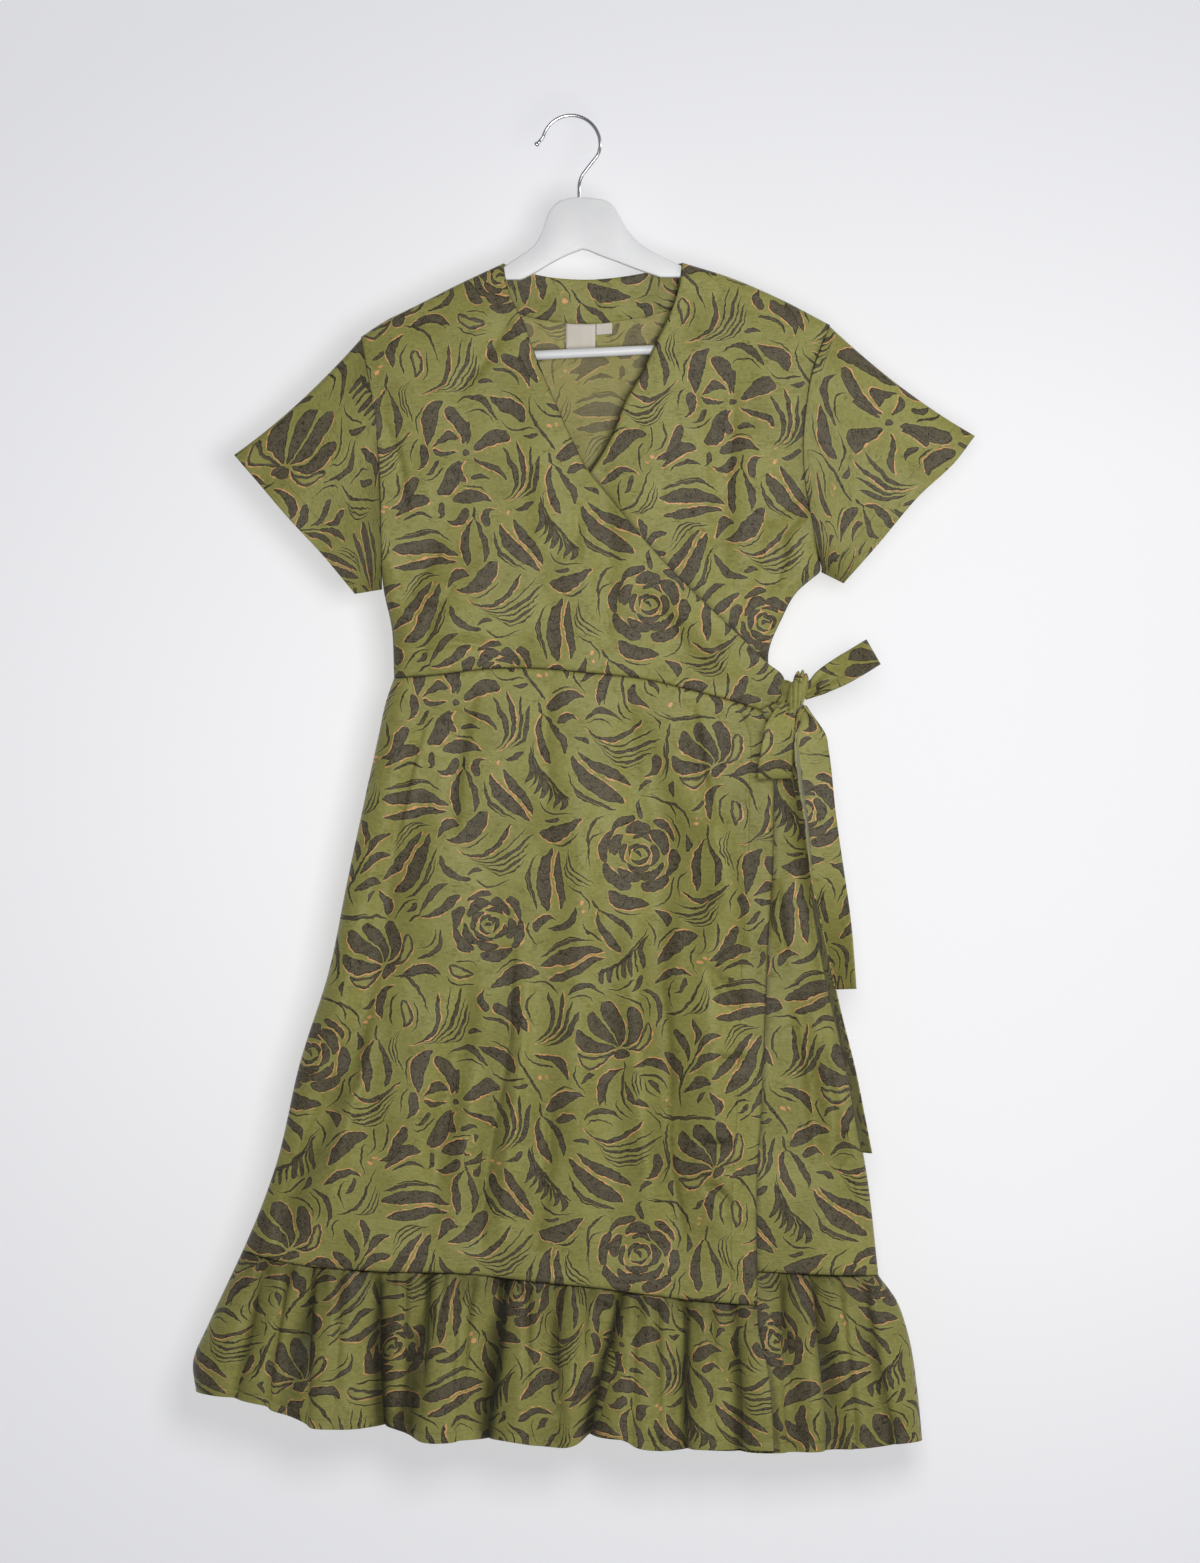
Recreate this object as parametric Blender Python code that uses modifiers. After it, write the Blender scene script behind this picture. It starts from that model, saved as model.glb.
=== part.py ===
"""Wrap dress on a wooden hanger: the cut and sewn pieces as cloth walls, the tie bow, hanger and hook.

Frame: metres, +Z up, the front faces -Y, the origin is where a rail carries the hook.
Left and right are as seen from the front. Tables are in millimetres, in two columns or more:
across is the way right of the hook, drop is the way down from it.
"""

from math import cos, pi, radians, sin

import bmesh
import bpy
import numpy as np
from mathutils import Matrix, Vector

MM = 0.001

# ---- cloth, in millimetres ----
CLOTH = 1.6  # wall of the cotton satin, as built
TRIM = 1.2  # wall of the facing and of the labels
FLAT_SEAM = 0.35  # each edge stands this far from a seam whose cloth runs straight on
FOLDED_SEAM = 0.42  # each edge stands this far from a seam where the cloth turns back
LAP = 4.4  # the under front lies this far behind the over front, middle to middle
RUFFLE_LAP = 1.5  # and the under ruffle this much further
LAP_FALL = 30.0  # drop in which the under front comes to lie that far behind
SIDE_ROUND = 17.0  # the cloth turns from front to back over this width at a side seam
SHOULDER_ROUND = 7.2  # half of the width over the hanger's arm, to the middle of the cloth
SHOULDER_FALL = 45.0  # drop in which the cloth leaves the arm for its full half depth
UNDERARM_OPEN = 62.0  # height in which the side seam opens into the armhole
UNDERARM_CLEAR = 1.5  # the sleeve's underarm stands this far out from the corner of the side seam
EDGE_STEPS = (0.0, 1.1, 4.2, 12.0)  # columns and rows near an edge that turns
NECK_STEPS = (0.0, 5.0, 17.0)  # the back has columns this far in from each neck point

# ---- hanger and hook ----
HANGER_HALF = 5.5  # half of the wood's thickness
HANGER_EDGE = 4.2  # its rounded edges
ARM_HEIGHT = 22.0
ARM_UNDER_CLOTH = 2.3  # from the middle of the cloth down to the wood
BAR_RADIUS = 4.7
BAR_CENTRE = ((-38.5, 239.0), (84.6, 233.0))  # two places that its axis passes
BAR_ENDS = (-174.6, 199.2)
HOOK_WIRE = 1.9  # radius of the wire
HOOK_RADIUS = 29.0  # to the wire's middle
HOOK_TURN = (184.0, -14.0)  # degrees, from its tip round to the bend
HOOK_TIP = 1.35  # the tip's share of the wire's radius
HOOK_BEND = ((24.5, 40.5), (19.5, 47.5), (13.5, 55.0), (9.3, 62.0), (8.0, 69.0), (8.0, 80.4))
ARM_LEFT = (-196.0, -180.0, -156.0, -135.0, -114.0, -90.0)  # across, where the arm follows the shoulder
ARM_RIGHT = (140.0, 163.0, 186.0, 208.0, 220.0)
CROWN_TOP = (  # across, drop, between the two arms
    (-68.0, 150.6),
    (-50.0, 138.5),
    (-38.0, 130.0),
    (-30.0, 119.0),
    (-27.0, 108.0),
    (-22.5, 94.0),
    (-13.0, 84.5),
    (0.0, 81.3),
    (10.6, 80.7),
    (24.0, 81.8),
    (38.0, 85.5),
    (46.0, 94.5),
    (52.0, 106.0),
    (60.0, 118.0),
    (72.0, 129.5),
    (90.0, 139.5),
    (112.0, 150.0),
)
CROWN_FOOT = (
    (90.0, 161.0),
    (72.0, 155.0),
    (44.0, 143.5),
    (24.0, 135.0),
    (10.6, 132.3),
    (-4.0, 136.0),
    (-20.0, 147.0),
    (-34.0, 156.5),
    (-50.0, 163.5),
)
LOBE_RIGHT = (
    (227.0, 206.0),
    (225.0, 226.0),
    (218.0, 235.0),
    (207.0, 236.5),
    (200.0, 231.0),
    (199.5, 212.0),
)
LOBE_LEFT = (
    (-174.5, 229.0),
    (-175.5, 250.0),
    (-183.0, 255.5),
    (-195.0, 254.0),
    (-203.0, 245.0),
    (-205.0, 224.0),
)

# ---- outline of the body, across by drop ----
SHOULDER_LEFT = (
    (-211.0, 221.0),
    (-188.5, 206.0),
    (-156.0, 189.7),
    (-114.0, 168.5),
    (-68.0, 147.0),
)
SHOULDER_RIGHT = (
    (111.0, 146.0),
    (163.0, 162.5),
    (208.0, 182.0),
    (260.0, 209.0),
)
COLLAR_PEAK = (12.0, 109.0)  # where the two shoulder lines would meet, up behind the hanger
BODICE_SIDE_LEFT = (  # armhole, then side seam
    (-211.0, 221.0),
    (-200.5, 279.0),
    (-195.4, 317.0),
    (-191.6, 368.0),
    (-190.5, 419.0),
    (-188.0, 474.0),
    (-180.0, 512.0),
    (-177.5, 563.0),
)
BODICE_SIDE_RIGHT = (
    (260.0, 209.0),
    (252.0, 230.0),
    (243.0, 256.0),
    (237.0, 291.0),
    (234.0, 330.0),
    (236.0, 368.0),
    (243.0, 409.0),
    (247.0, 437.0),
    (249.0, 457.0),
    (223.0, 488.0),
    (198.0, 536.0),
    (203.5, 578.0),
)
SKIRT_SIDE_LEFT = (
    (-177.5, 563.0),
    (-185.0, 585.0),
    (-193.0, 621.0),
    (-208.0, 690.0),
    (-225.0, 770.0),
    (-242.0, 854.0),
    (-271.0, 946.0),
    (-297.0, 1055.0),
    (-314.0, 1102.0),
    (-329.0, 1137.0),
)
SKIRT_SIDE_RIGHT = (
    (203.5, 578.0),
    (219.0, 625.0),
    (241.0, 735.0),
    (261.0, 875.0),
    (277.0, 959.0),
    (297.0, 1065.0),
    (308.0, 1162.0),
)
RUFFLE_SIDE_LEFT = (
    (-329.0, 1137.0),
    (-344.0, 1169.0),
    (-364.0, 1212.0),
    (-379.0, 1250.0),
    (-376.0, 1278.0),
)
RUFFLE_SIDE_RIGHT = (
    (308.0, 1162.0),
    (326.0, 1187.0),
    (337.0, 1218.0),
    (347.0, 1277.0),
    (352.0, 1327.0),
)
HALF_DEPTH = (  # drop, half depth of the hanging dress at that drop
    (150.0, 13.5),
    (240.0, 14.5),
    (365.0, 17.0),
    (470.0, 17.5),
    (565.0, 15.0),
    (640.0, 17.0),
    (770.0, 20.0),
    (950.0, 24.0),
    (1150.0, 28.0),
    (1340.0, 34.0),
)
LEFT_UNDERARM = 474.0  # drop
RIGHT_UNDERARM = 457.0

# ---- edges of the pieces, across by drop ----
NECK_OVER = (
    (-68.0, 147.0),
    (-64.0, 170.0),
    (-59.0, 184.0),
    (-48.0, 205.0),
    (-38.0, 234.0),
    (-14.0, 291.0),
    (0.0, 322.0),
    (16.0, 353.0),
    (33.0, 375.0),
    (67.0, 417.0),
    (98.0, 452.0),
    (131.0, 485.0),
    (172.0, 524.0),
    (195.0, 547.0),
    (213.0, 563.0),
    (212.0, 580.0),
    (190.0, 595.0),
)
NECK_UNDER = (  # below the crossing it is hidden, the other front's edge in a mirror
    (111.0, 146.0),
    (109.0, 167.0),
    (100.0, 196.0),
    (84.0, 229.0),
    (71.0, 258.0),
    (55.0, 285.0),
    (43.0, 316.0),
    (29.0, 342.0),
    (-15.0, 395.0),
    (-60.0, 445.0),
    (-110.0, 495.0),
    (-140.0, 528.0),
    (-156.0, 553.0),
)
NECK_BACK = (
    (-68.0, 147.0),
    (-36.0, 157.0),
    (12.0, 162.0),
    (71.0, 156.0),
    (111.0, 146.0),
)
WAIST_OVER = (
    (-177.5, 563.0),
    (-137.0, 560.0),
    (-87.0, 554.0),
    (-41.0, 553.0),
    (16.0, 557.5),
    (73.0, 564.0),
    (112.0, 573.0),
    (165.0, 587.0),
    (190.0, 595.0),
)
WAIST_UNDER = ((-156.0, 553.0), (20.0, 566.0), (130.0, 578.0), (203.5, 578.0))
WAIST_BACK = ((-177.5, 563.0), (10.0, 566.0), (203.5, 578.0))
FRONT_EDGE_OVER = (
    (190.0, 595.0),
    (203.0, 625.0),
    (203.0, 678.0),
    (202.0, 755.0),
    (198.0, 812.0),
    (194.0, 908.0),
    (191.0, 984.0),
    (186.0, 1065.0),
    (186.0, 1190.0),
)
FRONT_EDGE_UNDER = ((-156.0, 553.0), (-160.0, 760.0), (-162.0, 960.0), (-165.0, 1148.0))
RUFFLE_SEAM_OVER = (
    (-329.0, 1137.0),
    (-282.0, 1148.0),
    (-195.0, 1156.0),
    (-100.0, 1159.0),
    (-40.0, 1166.0),
    (20.0, 1172.0),
    (112.0, 1184.0),
    (186.0, 1190.0),
)
RUFFLE_SEAM_UNDER = ((-165.0, 1148.0), (20.0, 1150.0), (206.0, 1158.0), (308.0, 1162.0))
RUFFLE_SEAM_BACK = ((-329.0, 1137.0), (-10.0, 1156.0), (308.0, 1162.0))
RUFFLE_SIDE_OVER = (
    (186.0, 1190.0),
    (188.0, 1218.0),
    (196.0, 1249.0),
    (201.0, 1295.0),
    (203.0, 1334.0),
)
RUFFLE_SIDE_UNDER = ((-165.0, 1148.0), (-172.0, 1210.0), (-180.0, 1300.0))
HEM_OVER = (
    (-376.0, 1278.0),
    (-321.0, 1286.0),
    (-287.0, 1298.0),
    (-259.0, 1311.0),
    (-227.0, 1313.0),
    (-177.0, 1311.0),
    (-142.0, 1326.0),
    (-103.0, 1324.0),
    (-73.0, 1324.0),
    (-33.0, 1330.0),
    (-4.0, 1331.0),
    (14.0, 1320.0),
    (40.0, 1320.0),
    (74.0, 1333.0),
    (122.0, 1333.0),
    (203.0, 1334.0),
)
HEM_UNDER = ((-180.0, 1300.0), (0.0, 1318.0), (203.0, 1337.0), (288.0, 1333.0), (352.0, 1327.0))
HEM_BACK = ((-376.0, 1278.0), (-250.0, 1300.0), (0.0, 1316.0), (200.0, 1326.0), (352.0, 1327.0))
FACING_ACROSS = (-55.0, 97.0)  # reach of the back neck facing
FACING_ROWS = 4  # it takes these rows of the back, the last 45 mm below the neck edge
LABELS = (("label_main", -5.4, 24.4, 32.0), ("label_size", 25.0, 41.0, 11.0))  # left, right, length

# ---- sleeves: the opening from the top fold to the underarm fold ----
CUFF_LEFT = ((-338.0, 339.0), (-315.0, 365.5), (-282.0, 404.0), (-249.0, 439.5), (-217.0, 478.0))
CUFF_RIGHT = ((405.0, 320.0), (386.0, 345.0), (348.0, 381.0), (310.0, 426.0), (273.5, 467.5))
CUFF_HALF_DEPTH = 13.0
SLEEVE_SAG = 7.0  # how far the top fold hangs below a straight line
SLEEVE_ROUND = 18  # points round a sleeve
SLEEVE_RINGS = 6

# ---- folds: half width and depth, then the way each runs, across by drop ----
# A positive depth is a trough, a negative one a ridge.
FOLD_STEPS = 24  # steps along a fold's way
FOLD_TAPER = 0.6  # a fold's depth falls off at its ends as a sine to this power
FRONT_FOLDS = (
    (15.0, 5.5, ((66.0, 602.0), (92.0, 730.0), (84.0, 880.0), (103.0, 1069.0), (98.0, 1150.0))),
    (20.0, -4.5, ((118.0, 640.0), (146.0, 760.0), (140.0, 880.0), (150.0, 1040.0), (150.0, 1150.0))),
    (19.0, 4.5, ((-140.0, 640.0), (-175.0, 760.0), (-214.0, 930.0), (-276.0, 1060.0), (-300.0, 1125.0))),
    (17.0, 3.5, ((-108.0, 870.0), (-129.0, 1015.0), (-150.0, 1140.0))),
    (15.0, 3.5, ((-66.0, 830.0), (-82.0, 990.0), (-92.0, 1140.0))),
    (22.0, -3.5, ((0.0, 620.0), (10.0, 800.0), (5.0, 960.0), (20.0, 1150.0))),
    (13.0, 4.0, ((27.0, 335.0), (35.0, 400.0), (36.0, 470.0), (34.0, 540.0))),
    (16.0, 3.0, ((-129.0, 425.0), (-150.0, 460.0), (-172.0, 490.0))),
    (13.0, 4.5, ((150.0, 215.0), (151.0, 300.0), (152.0, 400.0), (146.0, 480.0))),
    (14.0, 3.0, ((216.0, 430.0), (190.0, 480.0), (176.0, 520.0))),
)
BACK_FOLDS = (
    (18.0, 4.5, ((-60.0, 600.0), (-80.0, 800.0), (-95.0, 980.0), (-110.0, 1140.0))),
    (20.0, -4.5, ((-10.0, 610.0), (-12.0, 820.0), (-20.0, 1140.0))),
    (17.0, 5.0, ((70.0, 600.0), (86.0, 820.0), (110.0, 1000.0), (118.0, 1145.0))),
    (18.0, 4.0, ((-140.0, 640.0), (-176.0, 850.0), (-230.0, 1050.0), (-250.0, 1130.0))),
    (18.0, 4.0, ((165.0, 660.0), (196.0, 850.0), (222.0, 1050.0), (230.0, 1150.0))),
    (14.0, 3.5, ((-100.0, 260.0), (-90.0, 380.0), (-70.0, 520.0))),
    (14.0, 3.5, ((150.0, 250.0), (140.0, 380.0), (110.0, 530.0))),
    (15.0, 3.0, ((20.0, 300.0), (22.0, 420.0), (18.0, 540.0))),
)
SLEEVE_FOLDS = (  # share of the way round from the shoulder, half width as such a share, depth
    (0.14, 0.05, 3.0),
    (0.27, 0.05, 4.0),
    (0.70, 0.06, 3.5),
    (0.84, 0.05, 3.0),
)
SLEEVE_FOLD_WAVE = (0.15, 0.75)  # the part of a half wave that a fold's depth follows down the sleeve

# ---- ruffle: place of each trough at the seam and at the hem, half width there, depth at the hem ----
FRONT_RUFFLES = (
    (-300.0, -338.0, 13.0, 7.0),
    (-256.0, -283.0, 14.0, 9.0),
    (-196.0, -226.0, 15.0, 10.0),
    (-142.0, -160.0, 11.0, 11.0),
    (-68.0, -82.0, 12.0, 13.0),
    (-14.0, -26.0, 14.0, 8.0),
    (53.0, 18.0, 14.0, 13.0),
    (116.0, 112.0, 12.0, 8.0),
    (160.0, 168.0, 13.0, 8.0),
    (212.0, 226.0, 10.0, 8.0),
    (247.0, 266.0, 10.0, 9.0),
    (280.0, 312.0, 11.0, 8.0),
)
BACK_RUFFLES = (
    (-296.0, -330.0, 13.0, 8.0),
    (-240.0, -266.0, 14.0, 10.0),
    (-180.0, -198.0, 14.0, 9.0),
    (-122.0, -134.0, 13.0, 11.0),
    (-62.0, -68.0, 14.0, 9.0),
    (-4.0, 0.0, 14.0, 11.0),
    (54.0, 66.0, 13.0, 9.0),
    (112.0, 130.0, 14.0, 10.0),
    (172.0, 196.0, 14.0, 9.0),
    (230.0, 258.0, 13.0, 10.0),
    (276.0, 312.0, 12.0, 8.0),
)
RUFFLE_FLARE = 6.0  # the hem stands this much further out than the body above it
RUFFLE_DROP = 150.0
RUFFLE_AT_SEAM = 0.12  # share of a trough's depth that it has at the seam
RUFFLE_HASTE = 1.15  # and it has all of it a little above the hem

# ---- tie: across, drop, way out from the mid-plane, slant and lean of its width in degrees, width ----
# Slant turns the width in the front plane, lean turns its right end out to the front.
KNOT_CENTRE = (225.5, 581.6, 26.0)
KNOT_SIZE = (19.0, 19.0, 42.0)
KNOT_LEAN = 14.0
KNOT_CAGE = 1.3  # the cage's size to the soft block's
KNOT_FOOT = (0.62, 0.85)  # share of its width and thickness that the block has at its foot
LOOP_UP = (
    (239.5, 574.4, 28.5, -62.0, 10.0, 14.0),
    (250.0, 567.5, 32.0, -62.0, 18.0, 23.0),
    (270.0, 556.0, 33.5, -62.0, 28.0, 31.0),
    (290.0, 544.5, 31.0, -62.0, 34.0, 34.0),
    (299.5, 538.5, 28.0, -62.0, 34.0, 34.0),
    (302.0, 537.0, 24.8, -62.0, 34.0, 34.0),
    (299.0, 539.0, 21.5, -62.0, 34.0, 34.0),
    (289.0, 545.0, 19.0, -62.0, 34.0, 34.0),
    (270.0, 556.5, 18.0, -62.0, 28.0, 31.0),
    (250.0, 568.5, 20.0, -62.0, 18.0, 22.0),
    (239.0, 575.5, 22.5, -62.0, 10.0, 14.0),
)
LOOP_DOWN = (
    (217.5, 603.6, 31.4, -6.0, -4.0, 20.0),
    (209.5, 614.0, 37.5, -3.0, -8.0, 29.0),
    (206.0, 635.0, 41.0, 0.0, -8.0, 33.0),
    (203.5, 652.0, 39.5, 1.0, -6.0, 34.0),
    (203.0, 661.0, 36.5, 2.0, -6.0, 34.0),
    (203.0, 663.5, 33.3, 2.0, -6.0, 34.0),
    (203.0, 660.5, 30.4, 2.0, -6.0, 34.0),
    (204.0, 651.0, 28.8, 1.0, -6.0, 34.0),
    (206.5, 634.0, 28.0, 0.0, -6.0, 33.0),
    (211.0, 614.0, 27.8, -3.0, -5.0, 29.0),
    (219.0, 604.0, 28.2, -6.0, -4.0, 19.0),
)
TAIL_LONG = (
    (226.0, 603.0, 22.8, 0.0, 4.0, 14.0),
    (222.0, 620.0, 22.3, 2.0, 3.0, 24.0),
    (217.0, 645.0, 23.2, 4.0, 4.0, 32.0),
    (215.5, 668.0, 25.4, 6.0, 16.0, 34.0),
    (223.5, 712.0, 34.0, 10.0, 52.0, 34.0),
    (231.5, 752.0, 38.5, 10.0, 64.0, 34.0),
    (239.5, 790.0, 41.0, 8.0, 80.0, 34.0),
    (251.0, 835.0, 42.0, 10.0, 80.0, 34.0),
    (264.0, 892.0, 41.5, 10.0, 79.0, 34.0),
    (280.0, 959.0, 39.0, 10.0, 77.0, 34.0),
    (288.5, 1003.0, 36.0, 8.0, 76.0, 34.0),
    (295.0, 1037.0, 33.0, 6.0, 75.0, 34.0),
)
TAIL_SHORT = (
    (235.0, 596.9, 20.1, -34.0, -6.0, 14.0),
    (241.5, 612.0, 16.8, -18.0, -8.0, 22.0),
    (243.0, 636.0, 17.0, 0.0, -4.0, 30.0),
    (248.5, 704.0, 18.5, 6.0, 0.0, 34.0),
    (256.5, 760.0, 19.5, 8.0, 8.0, 34.0),
    (264.5, 810.0, 23.0, 8.0, 26.0, 34.0),
    (272.5, 874.0, 28.0, 4.0, 46.0, 34.0),
)

# ---- colours: red, green, blue, then roughness ----
PRINTED_CLOTH = (0.20, 0.19, 0.075, 0.55)
WHITE_PAINT = (0.78, 0.78, 0.77, 0.35)
LABEL_TAPE = (0.58, 0.53, 0.46, 0.7)
CHROME = (0.75, 0.75, 0.76, 0.15)


def smooth(table, fractions):
    """Rows on a smooth curve through the table's rows, at fractions of the way along."""
    rows = np.array(table, float)
    runs = np.linalg.norm(np.diff(rows[:, :3], axis=0), axis=1)
    way = np.concatenate(([0.0], np.cumsum(runs)))
    slopes = np.gradient(rows, way, axis=0)
    at = np.clip(np.asarray(fractions, float), 0.0, 1.0) * way[-1]
    k = np.clip(np.searchsorted(way, at, side="right") - 1, 0, len(way) - 2)
    span = runs[k][..., None]
    f = (at - way[k])[..., None] / span
    start = rows[k] * (2 * f**3 - 3 * f**2 + 1) + slopes[k] * span * (f**3 - 2 * f**2 + f)
    end = rows[k + 1] * (3 * f**2 - 2 * f**3) + slopes[k + 1] * span * (f**3 - f**2)
    return start + end


def edge(*tables):
    """One fine line through smooth stretches, end to end."""
    return np.concatenate([smooth(table, np.linspace(0, 1, 161)) for table in tables])


def walk(line, fractions):
    """Places at fractions of a line's length."""
    way = np.concatenate(([0.0], np.cumsum(np.hypot(*np.diff(line, axis=0).T))))
    at = np.asarray(fractions, float) * way[-1]
    return np.stack((np.interp(at, way, line[:, 0]), np.interp(at, way, line[:, 1])), axis=-1)


def across_at(line, drop):
    order = np.argsort(line[:, 1], kind="stable")
    return np.interp(drop, line[order, 1], line[order, 0])


def drop_at(line, across):
    order = np.argsort(line[:, 0], kind="stable")
    return np.interp(across, line[order, 0], line[order, 1])


def above(line, drop):
    """The line down to a drop."""
    return line[line[:, 1] <= drop]


def shoulder_drop(across):
    """Top of the cloth; between the neck points the two lines go on up behind the hanger."""
    left, right = SHOULDER_LEFT[-1], SHOULDER_RIGHT[0]
    seams = drop_at(edge(SHOULDER_LEFT, SHOULDER_RIGHT), across)
    peak = np.interp(across, *zip(left, COLLAR_PEAK, right))
    return np.where((across > left[0]) & (across < right[0]), peak, seams)


def ease(share):
    """0 to 1 with soft ends."""
    share = np.clip(share, 0.0, 1.0)
    return share * share * (3 - 2 * share)


def quarter_round(share):
    """How far the cloth has come round an edge, a quarter of an ellipse."""
    share = np.clip(share, 0.0, 1.0)
    return np.sqrt(1 - (1 - share) ** 2)


def fold_depth(folds, grid):
    """Depth of the folds at each place: a soft trough along each way, gone at both ends."""
    total = np.zeros(grid.shape[:-1])
    for width, depth, way in folds:
        line = smooth(way, np.linspace(0, 1, FOLD_STEPS + 1))
        gaps = np.linalg.norm(grid[..., None, :] - line, axis=-1)
        along = np.clip(np.argmin(gaps, axis=-1) / FOLD_STEPS, 0.02, 0.98)
        total += depth * np.sin(along * pi) ** FOLD_TAPER * np.exp(-((gaps.min(axis=-1) / width) ** 2))
    return total


def ruffle_depth(ruffles, grid, seam):
    """Depth of the ruffle's troughs, from little at the seam to all at the hem."""
    across, drop = grid[..., 0], grid[..., 1]
    down = np.clip((drop - drop_at(edge(seam), across)) / RUFFLE_DROP, 0.0, 1.0)
    total = np.zeros(grid.shape[:-1])
    for at_seam, at_hem, width, depth in ruffles:
        middle = at_seam + (at_hem - at_seam) * down
        total += depth * np.exp(-(((across - middle) / width) ** 2))
    grown = RUFFLE_AT_SEAM + (1 - RUFFLE_AT_SEAM) * ease(down * RUFFLE_HASTE)
    return total * grown - RUFFLE_FLARE * ease(down)


def side_share(grid, sides):
    """0 at a side seam, 1 where the cloth is full depth; the seam opens into the armhole."""
    across, drop = grid[..., 0], grid[..., 1]
    share = np.ones(grid.shape[:-1])
    if "left" in sides:
        opened = ease((LEFT_UNDERARM - drop) / UNDERARM_OPEN)
        side = across_at(edge(BODICE_SIDE_LEFT, SKIRT_SIDE_LEFT, RUFFLE_SIDE_LEFT), drop)
        share = np.minimum(share, (across - side) / SIDE_ROUND + opened)
    if "right" in sides:
        opened = ease((RIGHT_UNDERARM - drop) / UNDERARM_OPEN)
        side = across_at(edge(BODICE_SIDE_RIGHT, SKIRT_SIDE_RIGHT, RUFFLE_SIDE_RIGHT), drop)
        share = np.minimum(share, (side - across) / SIDE_ROUND + opened)
    return quarter_round(share)


def body_depth(grid, sides, folded=0.0, inset=0.0):
    """Way out from the mid-plane to the middle of the cloth, less the depth of its folds."""
    under = grid[..., 1] - shoulder_drop(grid[..., 0])
    over_arm = SHOULDER_ROUND * quarter_round(under / SHOULDER_ROUND)
    full = np.interp(grid[..., 1], *zip(*HALF_DEPTH)) - SHOULDER_ROUND - inset * ease(under / LAP_FALL)
    hanging = (full - folded) * ease(under / SHOULDER_FALL)
    return (over_arm + np.maximum(hanging, 0.0)) * side_share(grid, sides)


def spaced(length, count, close_start, close_end):
    """Fractions of a length, in even steps but close together at an edge that turns."""
    start = EDGE_STEPS if close_start else (0.0,)
    end = EDGE_STEPS if close_end else (0.0,)
    middle = np.linspace(start[-1], length - end[-1], count + 1)
    way = np.concatenate((start[:-1], middle, length - np.array(end[:-1])[::-1]))
    return way / length


def panel_grid(top, foot, left, right, columns, rows, close="", extra=()):
    """Rows of places (across, drop) over a panel between its four edges.

    close names the edges, of top, left and right, where the cloth turns; extra columns stand at
    these fractions of the top.
    """
    height = np.hypot(*(walk(foot, 0.5) - walk(top, 0.5)))
    grid = []
    for t in spaced(height, rows, "top" in close, False):
        begin = walk(left, t)
        end = walk(right, t)
        s = spaced(np.hypot(*(end - begin)), columns, "left" in close, "right" in close)
        s = np.sort(np.concatenate((s, extra)))[:, None]
        corners = (1 - t) * ((1 - s) * top[0] + s * top[-1]) + t * ((1 - s) * foot[0] + s * foot[-1])
        between = (1 - t) * walk(top, s[:, 0]) + t * walk(foot, s[:, 0])
        grid.append(between + (1 - s) * begin + s * end - corners)
    return np.array(grid)


def trimmed(grid, top=0.0, foot=0.0, left=0.0, right=0.0):
    """The grid with its outer rows and columns drawn in from their seams, in millimetres."""
    grid = grid.copy()
    for edge, inner, by in ((0, 1, top), (-1, -2, foot)):
        inward = grid[inner] - grid[edge]
        grid[edge] += by * inward / np.linalg.norm(inward, axis=-1, keepdims=True)
    for edge, inner, by in ((0, 1, left), (-1, -2, right)):
        inward = grid[:, inner] - grid[:, edge]
        grid[:, edge] += by * inward / np.linalg.norm(inward, axis=-1, keepdims=True)
    return grid


def material(name, look, metallic=0.0):
    made = bpy.data.materials.new(name)
    made.use_nodes = True
    shader = made.node_tree.nodes["Principled BSDF"]
    shader.inputs["Base Color"].default_value = (*look[:3], 1.0)
    shader.inputs["Roughness"].default_value = look[3]
    shader.inputs["Metallic"].default_value = metallic
    return made


def place(name, mesh, look, collection):
    """An object in the collection, with its material."""
    thing = bpy.data.objects.new(name, mesh)
    thing.data.materials.append(look)
    collection.objects.link(thing)
    return thing


def sheet_mesh(name, points, closed=False):
    """An open mesh through rows of points; closed joins each row's end to its start."""
    shape = bmesh.new()
    rows = [[shape.verts.new(Vector(p) * MM) for p in row] for row in points]
    width = len(rows[0])
    for upper, lower in zip(rows, rows[1:]):
        for j in range(width if closed else width - 1):
            k = (j + 1) % width
            shape.faces.new((upper[j], lower[j], lower[k], upper[k]))
    mesh = bpy.data.meshes.new(name)
    shape.to_mesh(mesh)
    shape.free()
    mesh.shade_smooth()
    return mesh


def cloth(name, points, look, collection, wall=CLOTH, closed=False):
    """A wall of cloth, half of it to each side of the points."""
    thing = place(name, sheet_mesh(name, points, closed), look, collection)
    wall_maker = thing.modifiers.new("wall", "SOLIDIFY")
    wall_maker.thickness = wall * MM
    wall_maker.offset = 0.0
    return thing


def standing(grid, out):
    """Points in space from places (across, drop) and the way out to the front."""
    return np.stack((grid[..., 0], -out, -grid[..., 1]), axis=-1)


def seam_shift(out):
    """Cloth that meets at the mid-plane stops a little short of it."""
    return np.maximum(out, FOLDED_SEAM)


def back_grid():
    shoulders = edge(SHOULDER_LEFT), edge(SHOULDER_RIGHT)
    neck = edge(NECK_BACK)
    top = np.concatenate((shoulders[0], neck, shoulders[1]))
    way = np.concatenate(([0.0], np.cumsum(np.hypot(*np.diff(top, axis=0).T))))
    ends = way[len(neck) - 1], way[2 * len(neck) - 1]
    extra = [ends[0] + step for step in NECK_STEPS] + [ends[1] - step for step in NECK_STEPS]
    grid = panel_grid(
        top,
        edge(WAIST_BACK),
        edge(BODICE_SIDE_LEFT),
        edge(BODICE_SIDE_RIGHT),
        14,
        8,
        "top left right",
        np.array(extra) / way[-1],
    )
    return trimmed(grid, foot=FLAT_SEAM, left=FLAT_SEAM, right=FLAT_SEAM)


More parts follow.
